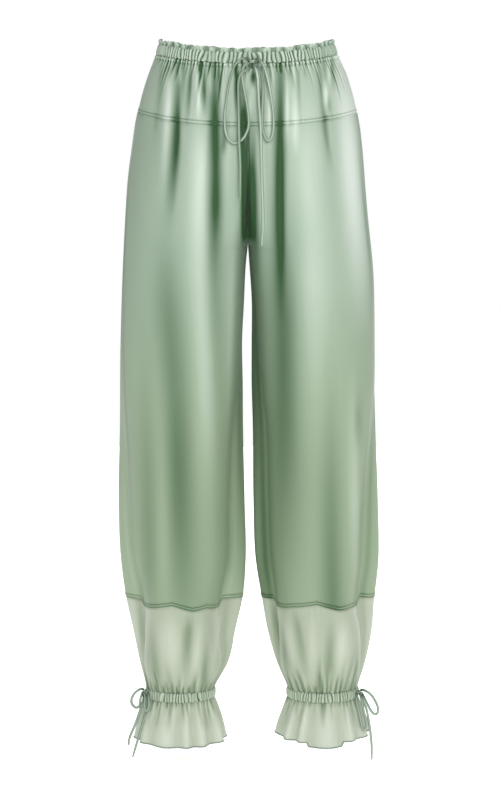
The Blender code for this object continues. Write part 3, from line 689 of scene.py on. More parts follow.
backFolds = foldTable(
    (-120, -4, -130, -80, 0.3, 3, 3, 1.6, 0.3),
    (-108, -4, -124, -180, 0.45, 7, 3.6, 4.4, 0.7),
    (-92, -4, -99, -96, 0.4, 3, 3, 2.6, 0.55),
    (-80, -4, -82, -60, 0.4, 2.4, 2.4, 1.6, 0.4),
    (-66, -4, -71, -285, 0.42, 4, 9, 6.0, 0.9),
    (-52, -4, -53, -84, 0.4, 2.6, 2.6, 2.4, 0.5),
    (-38, -4, -35, -120, 0.5, 3, 4, 3.0, 0.65),
    (-25, -4, -23, -60, 0.4, 2.4, 2.4, 1.6, 0.4),
    (-11, -4, -8, -150, 0.5, 4, 3, 3.2, 0.7),
    (4, -4, 3, -76, 0.4, 2.4, 2.4, 1.8, 0.45),
    (20, -4, 17, -110, 0.45, 3, 4, 3.0, 0.65),
    (33, -4, 35, -80, 0.4, 2.4, 2.4, 1.8, 0.45),
    (47, -4, 54, -310, 0.40, 9, 4, 6.5, 0.9),
    (64, -4, 69, -84, 0.4, 2.6, 2.6, 2.2, 0.5),
    (79, -4, 87, -120, 0.45, 4, 3, 3.2, 0.65),
    (94, -4, 101, -60, 0.4, 2.4, 2.4, 1.6, 0.4),
    (108, -4, 123, -190, 0.45, 8, 3.6, 4.0, 0.65),
    (120, -4, 131, -70, 0.3, 3, 3, 1.5, 0.3),
    (-72, -230, -80, -840, 0.4, 16, 12, 4.2, 0.5),
    (-128, -380, -134, -840, 0.6, 11, 12, 3.4, 0.4),
    (-30, -330, -36, -840, 0.5, 9, 9, 2.4, 0.35),
    (55, -260, 72, -840, 0.4, 14, 16, 4.2, 0.5),
    (125, -360, 138, -840, 0.6, 13, 10, 3.2, 0.4),
    (28, -340, 36, -840, 0.5, 8, 9, 2.2, 0.35),
    (-101, -12, -110, -160, 0.4, 5, 5, -1.6, -0.5),
    (-79, -14, -86, -330, 0.35, 6, 8, -2.0, -0.7),
    (-58, -14, -58, -90, 0.5, 4, 4, -1.6, -0.5),
    (-45, -14, -45, -250, 0.4, 4, 6, -1.6, -0.5),
    (-17, -14, -15, -130, 0.4, 5, 5, -1.6, -0.5),
    (12, -14, 10, -120, 0.4, 5, 5, -1.6, -0.5),
    (27, -14, 24, -240, 0.4, 4, 6, -1.6, -0.5),
    (57, -14, 66, -330, 0.35, 4, 9, -2.0, -0.7),
    (72, -14, 78, -110, 0.4, 4, 4, -1.4, -0.5),
    (100, -14, 110, -170, 0.4, 6, 5, -1.6, -0.5),
    (-103, -260, -108, -840, 0.4, 14, 14, -2.4, -0.4),
    (-52, -300, -56, -840, 0.4, 8, 8, -1.6, -0.3),
    (100, -280, 106, -840, 0.4, 14, 14, -2.4, -0.4),
    (48, -420, 52, -840, 0.4, 7, 7, -1.4, -0.25),
)
# Soft folds down the outer sides, by their place along Y
sideFolds = foldTable(
    (-40, -100, -44, -430, 0.4, 9, 7, 2.2, 0.35),
    (24, -110, 30, -560, 0.4, 8, 12, 2.8, 0.45),
    (-10, -300, -14, -840, 0.5, 10, 10, 2.2, 0.35),
    (52, -240, 46, -840, 0.5, 12, 8, 2.6, 0.4),
    (-58, -430, -46, -840, 0.5, 9, 9, 2.4, 0.35),
    (4, -40, 6, -260, 0.4, 9, 9, -1.8, -0.4),
    (-28, -200, -30, -700, 0.4, 9, 9, -1.8, -0.3),
    (36, -260, 38, -760, 0.4, 7, 7, -1.6, -0.3),
)
sheerFolds = foldTable(
    (-82, -790, -96, -950, 0.3, 8, 6, 3.5, 0.6),
    (-57, -835, -66, -950, 0.7, 5, 5, 2.5, 0.6),
    (-145, -795, -134, -950, 0.7, 6, 7, 2.4, 0.5),
    (-160, -790, -148, -920, 0.5, 5, 5, 1.6, 0.35),
    (-33, -795, -52, -940, 0.4, 3, 4, 1.6, 0.25),
    (-121, -875, -112, -950, 0.7, 4, 4, 1.8, 0.4),
    (-75, -885, -84, -950, 0.7, 3, 3, 1.5, 0.4),
    (33, -790, 66, -950, 0.35, 7, 7, 3.0, 0.65),
    (64, -790, 91, -950, 0.3, 6, 6, 2.6, 0.45),
    (122, -790, 119, -950, 0.6, 7, 7, 3.4, 0.55),
    (102, -865, 104, -950, 0.7, 4, 4, 1.8, 0.4),
    (167, -815, 158, -950, 0.6, 6, 6, 2.0, 0.35),
    (144, -865, 134, -950, 0.6, 3, 3, 1.5, 0.35),
    (-117, -795, -104, -940, 0.4, 14, 12, -2.0, -0.4),
    (-66, -795, -82, -940, 0.5, 6, 6, -1.4, -0.35),
    (-38, -790, -52, -940, 0.4, 5, 5, -1.2, -0.5),
    (52, -790, 72, -940, 0.4, 6, 6, -1.4, -0.35),
    (93, -795, 96, -940, 0.4, 6, 6, -1.2, -0.3),
    (140, -795, 134, -940, 0.4, 9, 9, -1.6, -0.5),
)


def relief(folds, x, height):
    # how far a table's folds push the cloth out or in, and how much painted shade or painted highlight they
    # put on it
    push = shade = 0.0
    for xTop, top, xEnd, end, peak, left, right, depth, tone in zip(*folds.values()):
        along = (top - height) / (top - end)
        away = x - (xTop + (xEnd - xTop) * along)
        width = np.where(away < 0, left, right) * (1 + 0.35 * np.clip(along, 0, 1))
        start = 0.5 if top > heightAt["casingBottom"] else 0.0
        grown = start + (1 - start) * smooth(0, peak, along)
        here = ((along > 0) & (along < 1)) * grown * (1 - smooth(peak, 1, along)) * bell(away, width)
        push = push - depth * here
        shade = shade + tone * here
    return push, shade


def softWaves(x, height, seed):
    # slow unevenness of hanging cloth, a few waves of different slant and length
    chance = np.random.default_rng(seed)
    push = 0.0
    for _ in range(5):
        length = chance.uniform(38, 110)
        slant = chance.uniform(-0.12, 0.12)
        push = push + 0.28 * np.sin(2 * pi * (x + slant * height) / length + chance.uniform(0, 6))
    return push


def gatherWave(angle, count, seed, skew=0.0):
    # gathers of uneven width and height round a ring: 1 on a crest, -1 in the narrow valleys
    chance = np.random.default_rng(seed)
    phase = count * angle
    height = 1.0
    for times in (3, 7, 11, 17, count // 4, count // 3):
        phase = phase + chance.uniform(0.3, 0.9) * np.sin(times * angle + chance.uniform(0, 6))
        height = height + 0.12 * np.sin(int(1.7 * times) * angle + chance.uniform(0, 6))
    return height * (2 * np.abs(np.sin((phase + skew) / 2)) ** 0.75 - 1.15)


# Short creases out of each gathered edge: how many all round, at what radius, and their ranges in mm
creaseKinds = {
    "yoke": {"count": 96, "radius": 128, "lengths": (14, 76), "depths": (0.4, 1.6), "widths": (0.8, 1.7)},
    "sheer": {"count": 40, "radius": 45, "lengths": (14, 80), "depths": (0.6, 1.8), "widths": (1.3, 2.8)},
    "frill": {"count": 38, "radius": 50, "lengths": (10, 55), "depths": (0.5, 1.5), "widths": (1.3, 2.6)},
}


def creases(angle, below, kind, seed):
    # creases uneven in length, depth and spacing, with painted shade in each and a painted highlight beside
    # it
    count, radius, lengths, depths, widths = creaseKinds[kind].values()
    chance = np.random.default_rng(seed)
    push = shade = 0.0
    for i in range(count):
        centre = 2 * pi * (i + chance.uniform(-0.35, 0.35)) / count
        length = lengths[0] + (lengths[1] - lengths[0]) * chance.random() ** 2
        depth = chance.uniform(*depths)
        width = chance.uniform(*widths)
        drift = chance.uniform(-0.05, 0.05) / radius
        away = (angle - centre - drift * below + pi) % (2 * pi) - pi
        fade = 1 - smooth(0.25, 1, below / length)
        here = fade * bell(away * radius, width * (1 + below / 60))
        push = push - depth * here
        shade = shade + 0.9 * depth / depths[1] * here - 0.3 * fade * bell(away * radius - 1.9 * width, width)
    return push, shade


def ringPoints(height, angle, dip, push=0.0):
    # points and normals of the body's ring, the angle growing from the centre front to the viewer's right
    across, along = np.sin(angle), np.cos(angle)
    half = np.where(across > 0, read(form, "right", height), read(form, "left", height))
    depth = np.where(along > 0, read(form, "front", height), read(form, "back", height))
    power = read(form, "square", height)
    x = half * np.sign(across) * np.abs(across) ** (2 / power)
    y = -depth * np.sign(along) * np.abs(along) ** (2 / power)
    nx, ny = x / half**2, y / depth**2
    length = np.hypot(nx, ny)
    nx, ny = nx / length, ny / length
    points = np.stack((x + nx * push, y + ny * push, height - dip * (y / depth) ** 2), axis=-1)
    return points, np.stack(np.broadcast_arrays(nx, ny, 0.0), axis=-1)


def gatheredBand(look, angle, seed):
    # a band gathered between two stitched edges: places across it, push, crests and its edges' ripple
    across = np.linspace(1, -1, 15)[:, None]
    middle = 1 - across**2
    skew = across * waves(angle, look["lean"]) + middle * waves(angle, look["bow"])
    crest = gatherWave(angle, look["gathers"], seed, skew)
    depth = look["stitchedDepth"] + (look["gatherDepth"] - look["stitchedDepth"]) * middle
    push = look["bulge"] * (1 - across**4) + depth * crest
    push = push - 0.5 * bell(np.abs(across) - look["stitchedAt"], look["stitchWidth"])
    times, sway = look["ripple"]
    ripple = 0.5 * smooth(0.6, 1, np.abs(across)) * np.sin(times * angle + 2 * np.sin(sway * angle))
    return across, push, crest, ripple


def legSection(side, half, height):
    # a leg's half section at a height, from the fork or the inseam to the side seam, with its normals
    outer = read(form, sideOf[side], height)
    depth = read(form, half, height)
    power = read(form, "square", height)
    fallen = np.clip((heightAt["yokeSeam"] - height) / (heightAt["yokeSeam"] - heightAt["crotch"]), 0, 1)
    if fallen < 1:
        reach = (1 - fallen**forkCurve) ** (1 / forkCurve)
        inside = outer - outer / 2 * fallen
        centre = inside * (1 - reach**power) ** (1 / power)
        start = np.arccos(min((centre / inside) ** (power / 2), 1))
        stepIn = stepOut = 0.0
    else:
        inner = read(leg, sideOf[side], height)
        centre = (inner + outer) / 2
        inside = (outer - inner) / 2
        start = 0.0
        stepIn, stepOut = (read(leg, sideOf[side] + end, height) if half == "front" else 0.0
                           for end in ("_in", "_out"))
    angle = np.linspace(start, pi, 240)
    y = depth * np.sin(angle) ** (2 / power)
    stepped = smooth(stepStart, stepEnd, y / depth)
    turn = np.abs(np.cos(angle)) ** (2 / power)
    reach = np.where(angle < pi / 2, stepIn * stepped - inside, outer - centre - stepOut * stepped)
    x = centre + reach * turn
    x, y = np.maximum(x, 0.15), np.maximum(y, 0.15)
    slopeX, slopeY = np.gradient(x), np.gradient(y)
    length = np.hypot(slopeX, slopeY)
    length[length == 0] = 1
    return x, y, -slopeY / length, slopeX / length


def legGrid(side, half, heights, columns, dip):
    # a leg panel's plain surface: points, normals and how far round the panel each one is, in mm
    facing = -1 if half == "front" else 1
    sign = signOf[side]
    points, normals, runs = [], [], []
    for height in heights:
        section = legSection(side, half, height)
        x, y = section[:2]
        run = np.concatenate(([0], np.cumsum(np.hypot(np.diff(x), np.diff(y)))))
        stops = np.linspace(0, run[-1], columns)
        x, y, nx, ny = (np.interp(stops, run, values) for values in section)
        sink = dip * (1 - smooth(-heightAt["yokeSeam"], -heightAt["crotch"], -height))
        z = height - sink * (y / read(form, half, height)) ** 2
        points.append(np.column_stack((sign * x, facing * y, z)))
        normals.append(np.column_stack((sign * nx, facing * ny, np.zeros(columns))))
        runs.append(stops)
    return np.array(points), np.array(normals), np.array(runs)


def clothShell(name, outer, normals, wall, closed, finish, fold, node):
    # a thin cloth wall: an outer and an inner grid joined along their edges
    inner = outer - normals * wall
    rows, columns = outer.shape[:2]
    front = np.arange(rows * columns).reshape(rows, columns)
    back = front + rows * columns
    if closed:
        here, there = slice(None), np.roll(np.arange(columns), -1)
    else:
        here, there = slice(0, columns - 1), slice(1, columns)
    quads = []

    def add(a, b, c, d):
        quads.append(np.stack((a, b, c, d), axis=-1).reshape(-1, 4))

    add(front[:-1, here], front[:-1, there], front[1:, there], front[1:, here])
    add(back[:-1, here], back[1:, here], back[1:, there], back[:-1, there])
    add(front[0, there], front[0, here], back[0, here], back[0, there])
    add(front[-1, here], front[-1, there], back[-1, there], back[-1, here])
    if not closed:
        add(front[:-1, 0], front[1:, 0], back[1:, 0], back[:-1, 0])
        add(front[1:, -1], front[:-1, -1], back[:-1, -1], back[1:, -1])
    points = np.concatenate((outer.reshape(-1, 3), inner.reshape(-1, 3)))
    item = meshFrom(name, points, np.concatenate(quads).tolist())
    mesh = item.data
    # the cloth's own map in metres, across and down the panel
    across, down = runOf(outer[rows // 2])[None, :], runOf(outer[:, columns // 2])[:, None]
    flat = np.stack(np.broadcast_arrays(across, down), axis=-1).reshape(-1, 2) * mm
    flat = np.concatenate((flat, flat))
    corners = np.zeros(len(mesh.loops), np.int32)
    mesh.loops.foreach_get("vertex_index", corners)
    mesh.uv_layers.new(name="cloth").data.foreach_set("uv", flat[corners].ravel())
    shade = np.clip(np.broadcast_to(fold, (rows, columns)), -1, 1).ravel()
    shadeFolds(item, np.concatenate((shade, shade)))
    mesh.set_sharp_from_angle(angle=radians(75))
    dress(item, finish, node)
    return item


# Stitching: one stitch is modelled once and copied along each seam

stitching = {"pitch": 3.1, "length": 2.2, "thickness": 0.42, "ends": (0.85, 0.45, 0.45), "sunk": 0.05}


def oneStitch():
    # a short thread with soft ends: a small cube drawn out, its two ends drawn in
    bpy.ops.object.select_all(action="DESELECT")
    bpy.ops.mesh.primitive_cube_add(size=1, location=(0, 0, 0))
    stitch = bpy.context.object
    stitch.scale = (stitching["length"], stitching["thickness"], stitching["thickness"])
    bpy.ops.object.transform_apply(location=True, rotation=True, scale=True)
    bpy.ops.object.mode_set(mode="EDIT")
    bpy.ops.mesh.select_all(action="DESELECT")
    shape = bmesh.from_edit_mesh(stitch.data)
    bpy.ops.mesh.select_mode(type="FACE")
    for face in shape.faces:
        face.select = bool(abs(face.normal.x) > 0.9)
    bmesh.update_edit_mesh(stitch.data)
    bpy.ops.transform.resize(value=stitching["ends"])
    bpy.ops.object.mode_set(mode="OBJECT")
    points = np.array([v.co for v in stitch.data.vertices])
    faces = [list(p.vertices) for p in stitch.data.polygons]
    bpy.data.objects.remove(stitch)
    return points, faces


stitchPoints, stitchFaces = oneStitch()


def stitchLine(line, normals, points, faces):
    # copies of the stitch laid end to end along a line on the cloth
    run = runOf(line)
    stops = np.arange(stitching["pitch"] / 2, run[-1], stitching["pitch"])
    ahead = unit(pointsAt(line, run, stops + 0.8) - pointsAt(line, run, stops - 0.8))
    aside = unit(np.cross(pointsAt(normals, run, stops), ahead))
    for place, x, y, z in zip(pointsAt(line, run, stops), ahead, aside, np.cross(ahead, aside)):
        start = len(points)
        points.extend(place + stitchPoints @ np.array((x, y, z)) - z * stitching["sunk"])
        faces.extend([[start + i for i in face] for face in stitchFaces])


def lineOn(outer, normals, heights, height):
    # the line on a panel's surface at one of its heights
    heights = np.asarray(heights)
    order = np.argsort(heights)
    i = np.clip(np.searchsorted(heights[order], height), 1, len(heights) - 1)
    low, high = order[i - 1], order[i]
    share = (height - heights[low]) / (heights[high] - heights[low])
    return [grid[low] + (grid[high] - grid[low]) * share for grid in (outer, normals)]


seam = {"raise": 0.6, "band": 6.8, "groove": 0.45, "grooveWidth": 0.8, "edge": 1.4, "puckers": 0.25,
        "shade": 0.55, "shadeWidth": 0.9}
stitchRows = (seam["edge"], seam["band"] - seam["edge"])


def sewSeam(name, outer, normals, heights, bottom):
    # both rows of stitches of one panel as one joined mesh
    points, faces = [], []
    for row in stitchRows:
        stitchLine(*lineOn(outer, normals, heights, bottom + row), points, faces)
    item = meshFrom(name, points, faces)
    dress(item, "thread")
    return item


def seamBand(x, above, times, sway):
    # a double-stitched seam: the band stands proud, dips along its two rows of stitches and puckers a little
    push = seam["raise"] * smooth(seam["band"] + 1.2, seam["band"] - 0.4, above)
    push = push - seam["groove"] * sum(bell(above - row, seam["grooveWidth"]) for row in stitchRows)
    return push + seam["puckers"] * np.sin(x * times + 2 * np.sin(x * sway)) * smooth(12, 4, above)


def seamShade(above):
    # painted shade along the two rows of stitches
    return seam["shade"] * sum(bell(above - row, seam["shadeWidth"]) for row in stitchRows)


def bandHeights(bottom):
    # close rows of points over a seam band
    return list(bottom + np.linspace(seam["band"] + 2.0, 0, 13))


# Waist

waist = {
    "gathers": 134, "bulge": 1.5, "gatherDepth": 1.25, "stitchedDepth": 0.7, "wall": 2.0,
    "stitchedAt": 0.86, "stitchWidth": 0.07, "ripple": (61, 13), "seed": 4,
    "lean": ((0.7, 5, 0), (1.1, 17, 1), (0.8, 29, 0)), "bow": ((1.1, 23, 2),),
    "waves": 41, "frillWave": ((1.3, 5, 0), (0.8, 9, 2), (0.9, 17, 1)), "frillSunk": 0.6,
    "frillRipple": ((0.6, 11, 0), (0.6, 23, 1), (0.6, 57, 2)),
    "columns": 1080, "frillColumns": 900, "flat": (1.06, 0.0175),
}


def buildWaist():
    top, bottom = heightAt["casingTop"], heightAt["casingBottom"]
    angle = allRound(waist["columns"])[None, :]
    across, push, crest, ripple = gatheredBand(waist, angle, waist["seed"])
    outer, normals = ringPoints((top + bottom) / 2 + (top - bottom) / 2 * across, angle, waistDip, push)
    outer[..., 2] += ripple
    # painted shade in the gathers' valleys and along the stitched edges, painted highlight on their crests
    fold = 1.1 * smooth(0.1, -1.0, crest) - 0.5 * smooth(0.3, 1.0, crest)
    fold = fold + 0.3 * smooth(0.8, 1.0, np.abs(across)) * smooth(0.6, -0.4, crest)
    casing = clothShell("waistCasing", outer, normals, waist["wall"], True, "satin", fold, "waist_casing")

    angle = allRound(waist["frillColumns"])[None, :]
    rise = np.linspace(0, 1, 9)[:, None]
    height = top - waist["frillSunk"] + (heightAt["frillTop"] - top + waist["frillSunk"]) * rise
    wave = np.sin(waist["waves"] * angle + waves(angle, waist["frillWave"]))
    fine = gatherWave(angle, waist["gathers"], waist["seed"])
    push = wave * (0.3 + 2.0 * rise) + 0.55 * fine * (1 - 0.7 * rise) - 0.2
    outer, normals = ringPoints(height, angle, waistDip, push)
    outer[..., 2] += rise * waves(angle, waist["frillRipple"])
    # painted shade in the frill's waves and gathers, painted highlight on its crests as it rises
    fold = 0.55 * smooth(0.3, -1, wave) * (1 - 0.4 * rise) - 0.5 * rise * smooth(-0.2, 0.8, wave)
    fold = fold + 0.5 * smooth(0, -1.1, fine) * (1 - 0.6 * rise)
    frill = clothShell("waistFrill", outer, normals, wallOf["satin"], True, "satin", fold, "waist_frill")


buildWaist()
print("waist")


# Yoke

yokes = {
    "front": {"columns": 430, "folds": frontFolds, "flat": (0.50, 0.088), "area": 0.042, "seed": 11},
    "back": {"columns": 330, "folds": backFolds, "flat": (0.52, 0.088), "area": 0.043, "seed": 12},
}
# Two rows of gathering stitches under the casing, in mm below it
gatherRows = {"gather": 0.8, "fade": 17, "puffAt": 2.7, "puffWidth": 1.5, "stitchedAt": 5.3}


def buildYoke(half):
    look, rows = yokes[half], gatherRows
    middle = 0.0 if half == "front" else pi
    top, bottom = heightAt["casingBottom"], heightAt["yokeSeam"]
    heights = [top + 1.5, top + 0.8, top, *np.linspace(top - 1.2, top - 14.8, 13)]
    heights += [*np.linspace(top - 16.4, bottom + 10.5, 28), *bandHeights(bottom)]
    height = np.array(heights)[:, None]
    angle = (middle + np.linspace(-pi / 2, pi / 2, look["columns"]))[None, :]
    below = top - height
    fall = np.clip(below / (top - bottom), 0, 1)
    dip = waistDip + (yokeDip - waistDip) * fall
    base, normals = ringPoints(height, angle, dip)
    x = base[..., 0]
    fine = gatherWave(angle, waist["gathers"], waist["seed"])
    push, fold = relief(look["folds"], x, height)
    small, smallShade = creases(angle, below, "yoke", look["seed"])
    push = push * np.abs(normals[..., 1]) + small
    push = push + rows["gather"] * fine * (1 - smooth(2, rows["fade"], below))
    # between the casing and a second row of gathering stitches the cloth stands in small puffs
    puffs = bell(below - rows["puffAt"], rows["puffWidth"])
    push = push + (0.5 + rows["gather"] * fine) * puffs - 0.5 * bell(below - rows["stitchedAt"], 1.3)
    push = push + 0.5 * softWaves(x, height, 3) * fall
    above = height - bottom
    push = push + seamBand(x, above, 1.05, 0.19)
    push = push - 2.6 * smooth(0.5, -0.6, below)       # its raw edge lies inside the casing
    outer, normals = ringPoints(height, angle, dip, push)
    # painted shade in the folds, creases, stitch rows and under the casing, painted highlight on ridges and
    # puffs, and the whole yoke painted a little lighter
    fold = 1.12 * fold - 0.1 + 1.3 * smallShade + seamShade(above) + 0.25 * bell(below - 5.5, 1.2)
    fold = fold + puffs * (0.65 * smooth(0.2, -1, fine) - 0.3 * smooth(0.1, 0.9, fine))
    fold = fold + 0.3 * bell(below, 0.9)
    gathers = 0.45 * smooth(0.1, -1.1, fine) - 0.25 * smooth(0.3, 0.9, fine)
    fold = fold + gathers * (1 - smooth(2, 18, below))
    name = "yoke" + half.capitalize()
    cloth = clothShell(name, outer, normals, wallOf["satin"], False, "satin", fold, "yoke_" + half)
    stitches = sewSeam(name + "Stitches", outer, normals, heights, bottom)


for half in ("front", "back"):
    buildYoke(half)
print("yoke")


# Legs

legs = {
    "front": {"columns": 138, "rows": (48, 126), "folds": frontFolds, "lowShade": 0.05,
              "inShade": {"L": -0.12, "R": 0.2}, "outShade": -0.1, "edgeShade": {"L": -0.1, "R": 0.25},
              "between": {"L": 0.0, "R": 0.35}, "flat": (0.335, 0.712), "area": 0.206},
    "back": {"columns": 104, "rows": (38, 100), "folds": backFolds, "flat": (0.345, 0.712), "area": 0.213},
}
# How far the satin's lower seam rises and falls along the front, as its folds lift it
hemLine = {
    "L": ((-170, 0), (-157, 0), (-152, -8), (-130, -1), (-110, 4), (-80, -4), (-60, -2), (-43, -9), (-38, 1),
          (-20, 2)),
    "R": ((20, 2), (38, 2), (43, -7), (66, 0), (100, 6), (133, -4), (150, -4), (160, -8), (165, 4), (176, 5)),
}


def hemLift(side, half, x, y, height):
    # the seam's lift fades out upwards and downwards, and towards the sides
    if half == "back":
        return 0.0
    places, lifts = zip(*hemLine[side])
    return np.interp(x, places, lifts) * bell(height - heightAt["satinHem"], 32) * smooth(12, 26, -y)


# How far the cloth turns in at a panel's long seams, and over what width
tuck = {"satin": 0.9, "organza": 0.5, "fork": 2.2, "width": 2.2}


def edgeTuck(run, depth):
    # the turn at the seam where a panel's run starts, and at the one where it ends
    return -depth * bell(run, tuck["width"]), -depth * bell(run[:, -1:] - run, tuck["width"])


def lobeEdges(side, half, x, y, height):
    # where the front steps out from its sides: the inner and the outer strip beside it, and its edges, as
    # masks for painted shade and highlight
    stepped = smooth(stepStart, stepEnd, np.abs(y) / read(form, half, height))
    inwards = x * signOf[side] < (read(leg, sideOf[side], height) + read(form, sideOf[side], height)) / 2
    edge = bell(stepped - 0.65, 0.2)
    into = inwards * smooth(2, 16, read(leg, sideOf[side] + "_in", height))
    out = ~inwards * smooth(2, 16, read(leg, sideOf[side] + "_out", height))
    return into * (1 - stepped), out * (1 - stepped), (into + out) * edge, inwards


def buildLeg(side, half):
    look = legs[half]
    top, crotch, bottom = heightAt["yokeSeam"], heightAt["crotch"], heightAt["satinHem"]
    forkRows, plainRows = look["rows"]
    turns = np.linspace(0, pi / 2, forkRows, endpoint=False)
    heights = [top + seamTuck, *(top - 0.2 - (top - crotch) * np.sin(turns) ** (2 / forkCurve))]
    heights += [*np.linspace(crotch, bottom + seam["band"] + 4.0, plainRows), *bandHeights(bottom)]
    base, normals, runs = legGrid(side, half, heights, look["columns"], yokeDip)
    height = np.array(heights)[:, None]
    x, y = base[..., 0], base[..., 1]
    facing = smooth(0.1, 0.6, np.abs(normals[..., 1]))
    push, fold = relief(look["folds"], x, height)
    sidePush, sideShade = relief(sideFolds, y * signOf[side], height)
    outside = (1 - facing) * smooth(60, 120, np.abs(x))
    push = (push * facing + sidePush * outside) * (0.2 + 0.8 * smooth(bottom + 5, bottom + 90, height))
    # painted shade in the troughs and painted highlight on the ridges, fading at the sides where the side
    # folds take over
    fold = fold * facing + sideShade * outside
    push = push + softWaves(x, height, 5) * smooth(top, top - 60, height)
    above = height - bottom
    push = push + seamBand(x, above, 1.1, 0.17)
    push = push - 1.2 * smooth(top - 0.1, top + 0.6, height)      # its raw edge lies behind the yoke
    inTuck, outTuck = edgeTuck(runs, tuck["satin"])
    forked = smooth(crotch - 25, crotch + 15, height)             # above the crotch it turns in along Y
    push = push + outTuck + inTuck * (1 - forked)
    outer = base + normals * push[..., None]
    outer[..., 1] += (-1 if half == "front" else 1) * tuck["fork"] * inTuck * forked
    outer[..., 2] += hemLift(side, half, x, y, height)
    outer[..., 0] = signOf[side] * np.maximum(signOf[side] * outer[..., 0], 0.02)
    # painted shade along the stitch rows and where the cloth turns in at its seams
    fold = fold + seamShade(above) + 0.35 * smooth(-0.2, -0.9, outTuck)
    fold = fold + smooth(-0.1, -0.9, inTuck) * (0.35 + 0.2 * forked)
    if half == "front":
        inStrip, outStrip, edges, inwards = lobeEdges(side, half, x, y, height)
        # painted shade deeper down the leg, on the inner strip and along the lobe's edges, and painted
        # highlight on the outer strip
        fold = fold + look["lowShade"] * smooth(-360, -620, height)   # the narrower calf turns from the light
        fold = fold + look["inShade"][side] * inStrip + look["outShade"] * outStrip
        fold = fold + look["edgeShade"][side] * edges
        # painted shade between the legs, where each one shades the other
        between = (1 - facing) * inwards * smooth(crotch + 20, crotch - 40, height)
        fold = fold + look["between"][side] * between
    name = "leg" + half.capitalize() + side
    cloth = clothShell(name, outer, normals, wallOf["satin"], False, "satin", fold, f"leg_{half}_{side}")
    stitches = sewSeam(name + "Stitches", outer, normals, heights, bottom)


for side in ("L", "R"):
    for half in ("front", "back"):
        buildLeg(side, half)
print("legs")


# Sheer lower legs

sheers = {
    "front": {"columns": 150, "flat": (0.26, 0.142), "area": 0.034},
    "back": {"columns": 150, "flat": (0.28, 0.142), "area": 0.037},
}
ankles = {
    "L": {"centre": -100.8, "half": 50.3, "seed": 21, "frillLift": 0.0},
    # the right frill's front lobe hangs lower than what is beside it
    "R": {"centre": 111.3, "half": 51.8, "seed": 22, "frillLift": 7.0},
}
cuff = {
    "columns": 480, "gathers": 70, "wall": 1.8, "bulge": 1.4, "gatherDepth": 1.2, "stitchedDepth": 0.7,
    "stitchedAt": 0.84, "stitchWidth": 0.08, "ripple": (37, 7), "depth": 37,
    "lean": ((0.9, 4, 0), (0.8, 13, 1)), "bow": ((0.9, 11, 0),),
    "flat": (0.46, 0.0165), "frillFlat": (0.47, 0.064), "frillArea": 0.0300, "flutes": 12,
    "hemRoll": 0.9, "hemSides": 8, "hemIn": 0.17, "lobe": (88, 140),
}


def buildSheer(side, half):
    look, seed = sheers[half], ankles[side]["seed"]
    top, bottom = heightAt["satinHem"], heightAt["ankleTop"]
    heights = [top + seamTuck + 3, top + 0.5, *np.linspace(top - 2, bottom + 14, 34)]
    heights += [*np.linspace(bottom + 12, bottom - 1.6, 11)]
    base, normals, runs = legGrid(side, half, heights, look["columns"], 0.0)
    height = np.array(heights)[:, None]
    x, y = base[..., 0], base[..., 1]
    around = np.arctan2(y, x - ankles[side]["centre"])
    facing = smooth(0.1, 0.6, np.abs(normals[..., 1]))
    push, fold = relief(sheerFolds, x, height)
    push, fold = push * facing, fold * facing
    above = np.maximum(height - bottom, 0)
    fine = gatherWave(around, cuff["gathers"], seed)
    push = push + fine * (1 - smooth(0, 16, above))
    small, smallShade = creases(around, above, "sheer", seed + 1)
    push = push + small
    push = push + 0.7 * softWaves(x, height, 8) * smooth(0, 40, above)
    push = push - 1.6 * smooth(top - 0.6, top + 0.4, height)      # sewn in behind the satin
    push = push - 1.5 * smooth(bottom + 0.6, bottom - 1.0, height)
    push = push + sum(edgeTuck(runs, tuck["organza"]))
    outer = base + normals * push[..., None]
    outer[..., 2] += hemLift(side, half, x, y, height)
    # painted shade in the folds, creases and ankle gathers
    fold = fold + smallShade + 0.4 * smooth(0, -1.1, fine) * (1 - smooth(0, 14, above))
    # painted light where the cloth turns away at the sides, as if light came through it, painted shade where
    # gathers pile up at the ankle, and a little darker all over
    fold = fold + 0.1 - 0.8 * (1 - facing) * smooth(0, 60, above) + 0.25 * (1 - smooth(0, 26, above))
    if half == "front":
        inStrip, outStrip, edges, _ = lobeEdges(side, half, x, y, height)
        # painted highlight on the strips beside the front lobe and painted shade along its edges
        fold = fold - 0.4 * (inStrip + outStrip) + 0.25 * edges
    name = "sheer" + half.capitalize() + side
    cloth = clothShell(name, outer, normals, wallOf["organza"], False, "organza", fold,
                       f"sheer_{half}_{side}")


for side in ("L", "R"):
    for half in ("front", "back"):
        buildSheer(side, half)
print("sheer lower legs")


# Ankle casings and frills

flare = table(
    "height flare depth flute",
    (-953.8, 0, 37, 0.6),
    (-965, 3.7, 41, 1.8),
    (-985, 9.7, 48.5, 2.8),
    (-1016, 16.2, 56, 3.6),
)


def anklePoints(side, height, extra, depth, angle, push):
    # points and normals of an oval ring round the ankle
    half = ankles[side]["half"] + extra
    nx, ny = np.cos(angle) / half, np.sin(angle) / depth
    length = np.hypot(nx, ny)
    nx, ny = nx / length, ny / length
    x = ankles[side]["centre"] + half * np.cos(angle) + nx * push
    y = depth * np.sin(angle) + ny * push
    points = np.stack(np.broadcast_arrays(x, y, height), axis=-1).astype(float)
    return points, np.stack(np.broadcast_arrays(nx, ny, 0.0), axis=-1)


